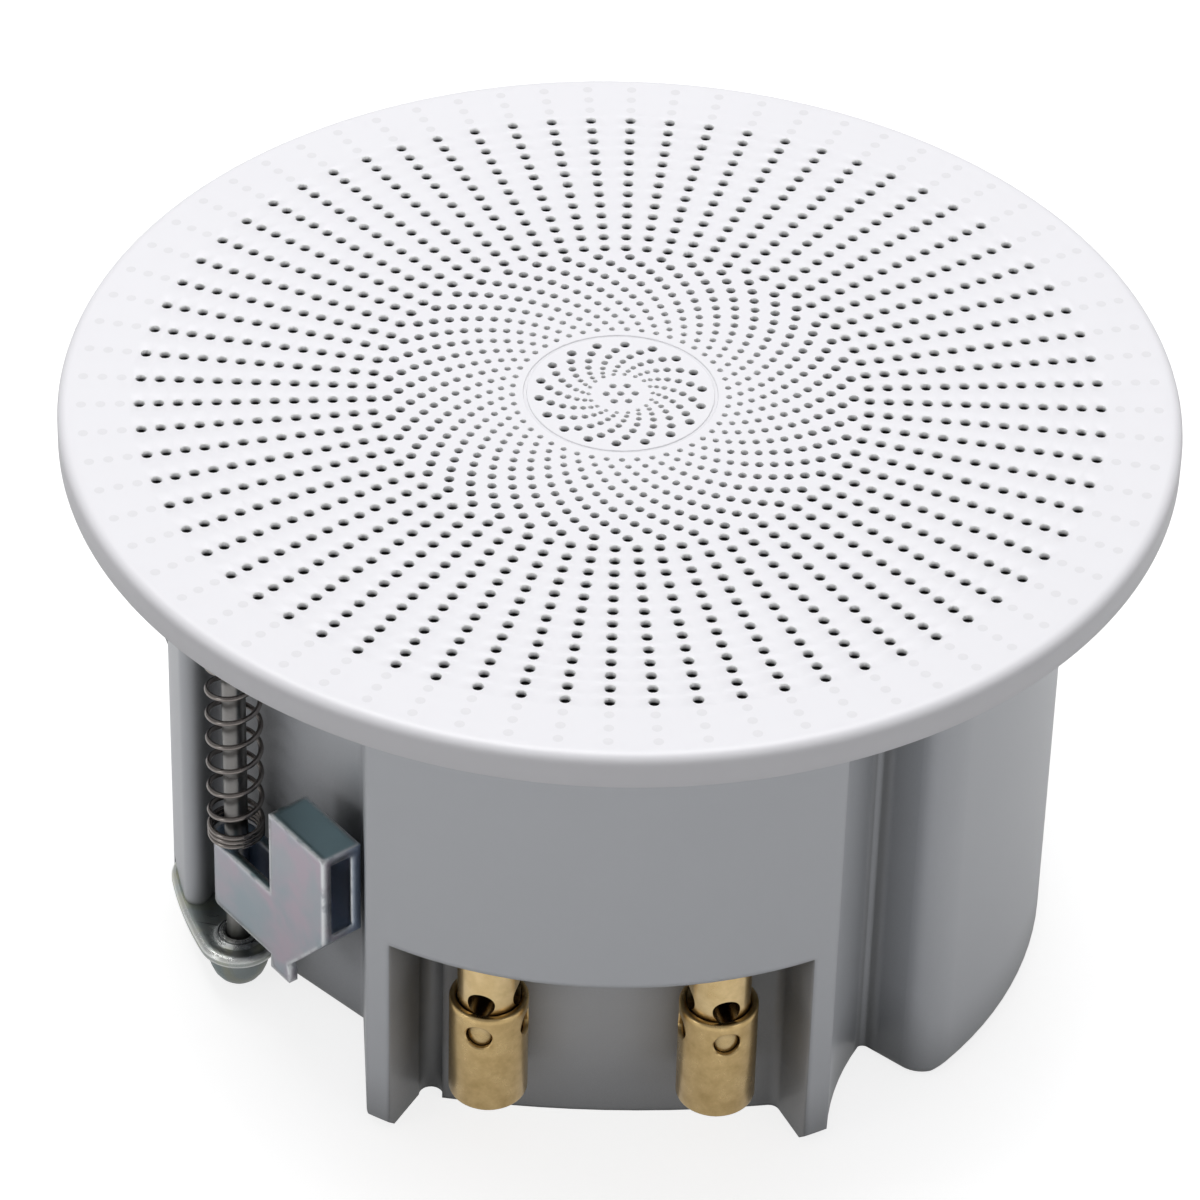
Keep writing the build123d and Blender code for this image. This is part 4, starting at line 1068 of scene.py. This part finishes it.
def hole_wall(name, mouth, land, painted_hole_shade, surface, thickness):
    """Wall of a moulded hole, painted lighter near its mouth as if lit through, and painted in shade down to
    black below its land.
    """
    land_end, shade_start = 0.3, 0.42
    made, tree, shader = new_material(name)
    where = add_node(tree, "ShaderNodeTexCoord").outputs["Object"]
    parts = add_node(tree, "ShaderNodeSeparateXYZ", {"Vector": where})
    sunk = mask_between(tree, parts.outputs["Z"], surface, surface - thickness)
    shade = add_node(tree, "ShaderNodeValToRGB", {"Fac": sunk})
    shade.color_ramp.elements.new(land_end)
    shade.color_ramp.elements.new(shade_start)
    for element, color in zip(shade.color_ramp.elements, (mouth, land, painted_hole_shade, painted_hole_shade)):
        element.color = (*color, 1.0)
    glow = {"Subsurface Weight": 1.0, "Subsurface Radius": (1.0, 1.0, 1.0), "Subsurface Scale": 0.9 * mm}
    set_inputs(shader, {"Base Color": shade.outputs["Color"], "Roughness": 0.6, **glow})
    return made


cover_roughness = (0.38, 0.48)
cover_grain = 0.008 * mm
cover_plastic = moulded_plastic(
    "white_satin_plastic", (0.87, 0.865, 0.90), (0.85, 0.845, 0.88), cover_roughness, cover_grain
)
wall_plastic = hole_wall(
    "hole_wall_plastic",
    # Painted light at the mouth, and painted shade below the land.
    mouth=(0.93, 0.93, 0.94),
    land=(0.72, 0.72, 0.73),
    painted_hole_shade=(0.02, 0.02, 0.02),
    surface=cover_top * mm,
    thickness=(cover_top - cover_under) * mm,
)
# Darker plastic for the dimples' faint sink marks and, as painted shade, for the bead's groove.
sink_and_groove_shade_plastic = moulded_plastic(
    "sink_mark_and_groove_shade_plastic", (0.80, 0.795, 0.825), (0.78, 0.775, 0.805), cover_roughness, cover_grain
)
cover = mesh_piece("perforated_cover", bm, sharp=50.0)
for finish in (cover_plastic, wall_plastic, sink_and_groove_shade_plastic):
    cover.data.materials.append(finish)
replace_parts(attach(cover, "speaker"), "front_grille")


# Studio: a pale floor that stays white to the camera and keeps a soft shadow, a broad soft light
# overhead, two weak fills in front, and a long lens that looks down at the object.
def stage_material(name, colour, glow, sheen):
    """A pale diffuse floor, with a plain glow added for the camera and a weaker one for reflections."""
    made, tree, shader = new_material(name)
    white = (1.0, 1.0, 1.0, 1.0)
    path = add_node(tree, "ShaderNodeLightPath")
    direct = {0: path.outputs["Is Camera Ray"], 1: glow}
    seen = add_node(tree, "ShaderNodeMath", direct, operation="MULTIPLY")
    terms = {0: path.outputs["Is Glossy Ray"], 1: sheen, 2: seen.outputs["Value"]}
    total = add_node(tree, "ShaderNodeMath", terms, operation="MULTIPLY_ADD")
    set_inputs(shader, {"Base Color": (*colour, 1.0), "Roughness": 0.9, "Specular IOR Level": 0.0})
    set_inputs(shader, {"Emission Color": white, "Emission Strength": total.outputs["Value"]})
    return made


floor_mesh = bpy.data.meshes.new("studio_floor")
floor_half = 3.0
floor_corners = [(-floor_half, -floor_half, 0), (floor_half, -floor_half, 0)]
floor_corners += [(floor_half, floor_half, 0), (-floor_half, floor_half, 0)]
floor_mesh.from_pydata(floor_corners, [], [(0, 1, 2, 3)])
floor = bpy.data.objects.new("studio_floor", floor_mesh)
bpy.context.scene.collection.objects.link(floor)
dress(floor, stage_material("studio_floor", (0.47, 0.47, 0.47), glow=0.8, sheen=0.38))

world = bpy.data.worlds.new("studio_world")
bpy.context.scene.world = world
world.use_nodes = True
tree = world.node_tree
path = add_node(tree, "ShaderNodeLightPath")
direct = {0: path.outputs["Is Camera Ray"], 1: path.outputs["Is Transmission Ray"]}
seen = add_node(tree, "ShaderNodeMath", direct, operation="MAXIMUM")
mirrored = value_range(tree, path.outputs["Is Glossy Ray"], 0.22, 0.36)
level = value_range(tree, seen.outputs["Value"], mirrored, 1.0)
set_inputs(tree.nodes["Background"], {"Color": (1.0, 1.0, 1.0, 1.0), "Strength": level})


def soft_light(name, power, size, place, target):
    """A square soft box that faces a point."""
    lamp = bpy.data.lights.new(name, "AREA")
    lamp.energy = power
    lamp.size = size
    holder = bpy.data.objects.new(name, lamp)
    holder.location = place
    holder.rotation_euler = (Vector(target) - Vector(place)).to_track_quat("-Z", "Y").to_euler()
    bpy.context.scene.collection.objects.link(holder)


aim = (0.0, 0.0, 0.04)
soft_light("overhead_box", power=8.7, size=0.7, place=(-0.05, 0.2, 1.0), target=aim)
soft_light("left_fill", power=1.1, size=0.4, place=(-1.05, -0.6, 0.35), target=aim)
soft_light("right_fill", power=0.9, size=0.4, place=(0.85, -0.85, 0.35), target=aim)

camera_data = bpy.data.cameras.new("photo_camera")
camera_data.sensor_width = 36.0
camera_data.lens = 181.8
camera = bpy.data.objects.new("photo_camera", camera_data)
bpy.context.scene.collection.objects.link(camera)
camera_place = (-0.0016, -0.5165, 0.4578)
pitch = radians(39.0)
roll = radians(1.59)
forward = Vector((0.0, cos(pitch), -sin(pitch)))
right = Vector((1.0, 0.0, 0.0))
down = forward.cross(right)
across = right * cos(roll) - down * sin(roll)
drop = right * sin(roll) + down * cos(roll)
turn = Matrix((across, -drop, -forward)).transposed()
camera.matrix_world = Matrix.Translation(camera_place) @ turn.to_4x4()
bpy.context.scene.camera = camera
bpy.context.scene.view_settings.view_transform = "Standard"
